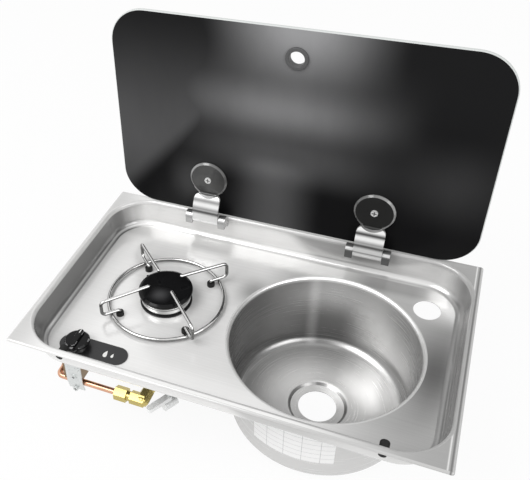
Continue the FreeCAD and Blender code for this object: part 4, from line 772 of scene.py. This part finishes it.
POINTER_WIDTH = 0.0012
POINTER_LENGTH = 0.006
POINTER_FROM_AXIS = 0.0105
POINTER_SUNK = 0.0004
POINTER_PROUD = 0.0002


def capsule(width, length, steps=8):
    """Outline of a bar with round ends along Y."""
    half = width / 2
    points = []
    for side in (1, -1):
        for step in range(steps + 1):
            angle = math.pi * step / steps
            out = length / 2 - half + half * math.sin(angle)
            points.append((side * half * math.cos(angle), side * out))
    return points


def make_pointer():
    """Short white bar on top of the knob, near its rim."""
    middle = middle_of("gas_knob")
    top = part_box("gas_knob")[1].z
    bar = capsule(POINTER_WIDTH, POINTER_LENGTH)
    outline = [(middle.x + x, middle.y + POINTER_FROM_AXIS + y) for x, y in bar]
    mesh = prism(outline, top - POINTER_SUNK, top + POINTER_PROUD)
    add_piece("knob_pointer", "knob", mesh, "white_mark")


MARK_FROM_END = 0.0224
MARK_TO_FRONT = 0.0023
MARK_SUNK = 0.0002
MARK_PROUD = 0.00012
# Name, height and sideways place of the drops
DROPS = (("plate_flame", 0.0105, -0.006), ("plate_flame_small", 0.0065, 0.0035))


def drop_outline(height, steps=14):
    """Plain drop with a leaning tip, as a sign for gas."""
    points = []
    for step in range(2 * steps):
        angle = math.pi * step / steps
        narrow = (1 - math.cos(angle)) / 2
        x = 0.36 * height * math.sin(angle) * (0.25 + 0.75 * narrow)
        y = height * (math.cos(angle) / 2)
        points.append((x + 0.06 * height * math.cos(angle) ** 2, y))
    return points


def make_plate_mark():
    """Two white drops near the right end of the control plate."""
    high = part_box("control_plate")[1]
    mark_x = high.x - MARK_FROM_END
    mark_y = middle_of("control_plate").y - MARK_TO_FRONT
    for name, size, shift in DROPS:
        outline = [(mark_x + shift + x, mark_y + y) for x, y in drop_outline(size)]
        mesh = prism(outline, high.z - MARK_SUNK, high.z + MARK_PROUD)
        add_piece(name, "unit", mesh, "white_mark")


RECESS_REACH = 0.32
RECESS_WIDTH = 0.42
RECESS_SUNK = 0.0003
RECESS_PROUD = 0.00008
# Node, body and slot of the screws whose heads face the front
FRONT_SCREWS = (("hinge_disc_screws", "lid", "chrome"), ("bracket_screws", "unit", "zinc_plate"))
TO_FRONT = Vector((0, -1, 0))


def turned(mesh, place, axis):
    """Moves a mesh so that its own Z points along the axis at the place."""
    turn = Vector((0, 0, 1)).rotation_difference(axis).to_matrix().to_4x4()
    mesh.transform(Matrix.Translation(place) @ turn)
    return mesh


def cross_outline(reach, width):
    half = width / 2
    quarter = [(half, reach), (half, half), (reach, half)]
    points = []
    for turns in range(4):
        for x, y in quarter:
            for _ in range(turns):
                x, y = y, -x
            points.append((x, y))
    return points


def loose_shells(item):
    """Boxes of the separate solids in a node, in world places, with points at one place welded."""
    mesh = item.data
    places = {}
    owner = []
    for vertex in mesh.vertices:
        place = tuple(round(value, 6) for value in vertex.co)
        owner.append(places.setdefault(place, vertex.index))

    def root(index):
        while owner[index] != index:
            owner[index] = owner[owner[index]]
            index = owner[index]
        return index

    for edge in mesh.edges:
        first, second = (root(index) for index in edge.vertices)
        owner[first] = second
    groups = {}
    for vertex in mesh.vertices:
        groups.setdefault(root(vertex.index), []).append(item.matrix_world @ vertex.co)
    boxes = []
    for points in groups.values():
        low = Vector(min(p[axis] for p in points) for axis in range(3))
        high = Vector(max(p[axis] for p in points) for axis in range(3))
        boxes.append((low, high))
    return sorted(boxes, key=lambda pair: (round(pair[0].x, 5), round(pair[0].z, 5)))


def make_screw_recesses():
    """Dark crosses of painted shade standing for the recesses on the screw heads that face the front."""
    for node, body, slot in FRONT_SCREWS:
        for index, (low, high) in enumerate(loose_shells(NODES[node])):
            reach = RECESS_REACH * (high.x - low.x)
            middle = (low + high) / 2
            cross = prism(cross_outline(reach, reach * RECESS_WIDTH), -RECESS_SUNK, RECESS_PROUD)
            mesh = turned(cross, Vector((middle.x, low.y, middle.z)), TO_FRONT)
            add_piece(f"{node}_recess_{index}", body, mesh, "recess_shadow")


LABEL_LOW_Z = BOWL_BASE_Z + 0.0426
LABEL_HEIGHT = 0.055
LABEL_START_DEGREES = -118.5
LABEL_SWEEP_DEGREES = 50.5
LABEL_COLUMNS = 28
LABEL_ROWS = 6
LABEL_LIFTS = (0.00006, 0.00022)
OUTSIDE_BOWL = 0.15


def label_sheet(bowl_faces, lift):
    """Grid of points that lie a little off the outside of the bowl."""
    points = []
    for row in range(LABEL_ROWS + 1):
        height = LABEL_LOW_Z + LABEL_HEIGHT * row / LABEL_ROWS
        for column in range(LABEL_COLUMNS + 1):
            degrees = LABEL_START_DEGREES + LABEL_SWEEP_DEGREES * column / LABEL_COLUMNS
            angle = math.radians(degrees)
            out = Vector((math.cos(angle), math.sin(angle), 0))
            start = Vector((BOWL.x, BOWL.y, height)) + out * OUTSIDE_BOWL
            hit = bowl_faces.ray_cast(start, -out)[0]
            points.append(hit + out * lift)
    return points


def make_label():
    """Thin blank label bent round the outside of the bowl."""
    item = NODES["bowl"]
    bowl_faces = BVHTree.FromPolygons(
        [item.matrix_world @ vertex.co for vertex in item.data.vertices],
        [tuple(face.vertices) for face in item.data.polygons],
    )
    inner, outer = (label_sheet(bowl_faces, lift) for lift in LABEL_LIFTS)
    count = len(inner)
    width = LABEL_COLUMNS + 1
    faces = []
    for row in range(LABEL_ROWS):
        for column in range(LABEL_COLUMNS):
            first = row * width + column
            loop = (first, first + 1, first + width + 1, first + width)
            faces.append(tuple(index + count for index in loop))
            faces.append(tuple(reversed(loop)))
    border = list(range(LABEL_COLUMNS))
    border += [row * width + LABEL_COLUMNS for row in range(LABEL_ROWS)]
    border += [LABEL_ROWS * width + column for column in range(LABEL_COLUMNS, 0, -1)]
    border += [row * width for row in range(LABEL_ROWS, 0, -1)]
    for first, second in zip(border, border[1:] + border[:1]):
        faces.append((first, second, second + count, first + count))
    mesh = bpy.data.meshes.new("label")
    mesh.from_pydata(inner + outer, [], faces)
    add_piece("bowl_label", "unit", mesh, "blank_label")


make_camera()
make_world()
make_floor()
for lamp in LAMPS:
    make_lamp(*lamp)
dress_nodes()
make_pointer()
make_plate_mark()
make_screw_recesses()
make_label()

bpy.context.scene.view_settings.view_transform = "Standard"
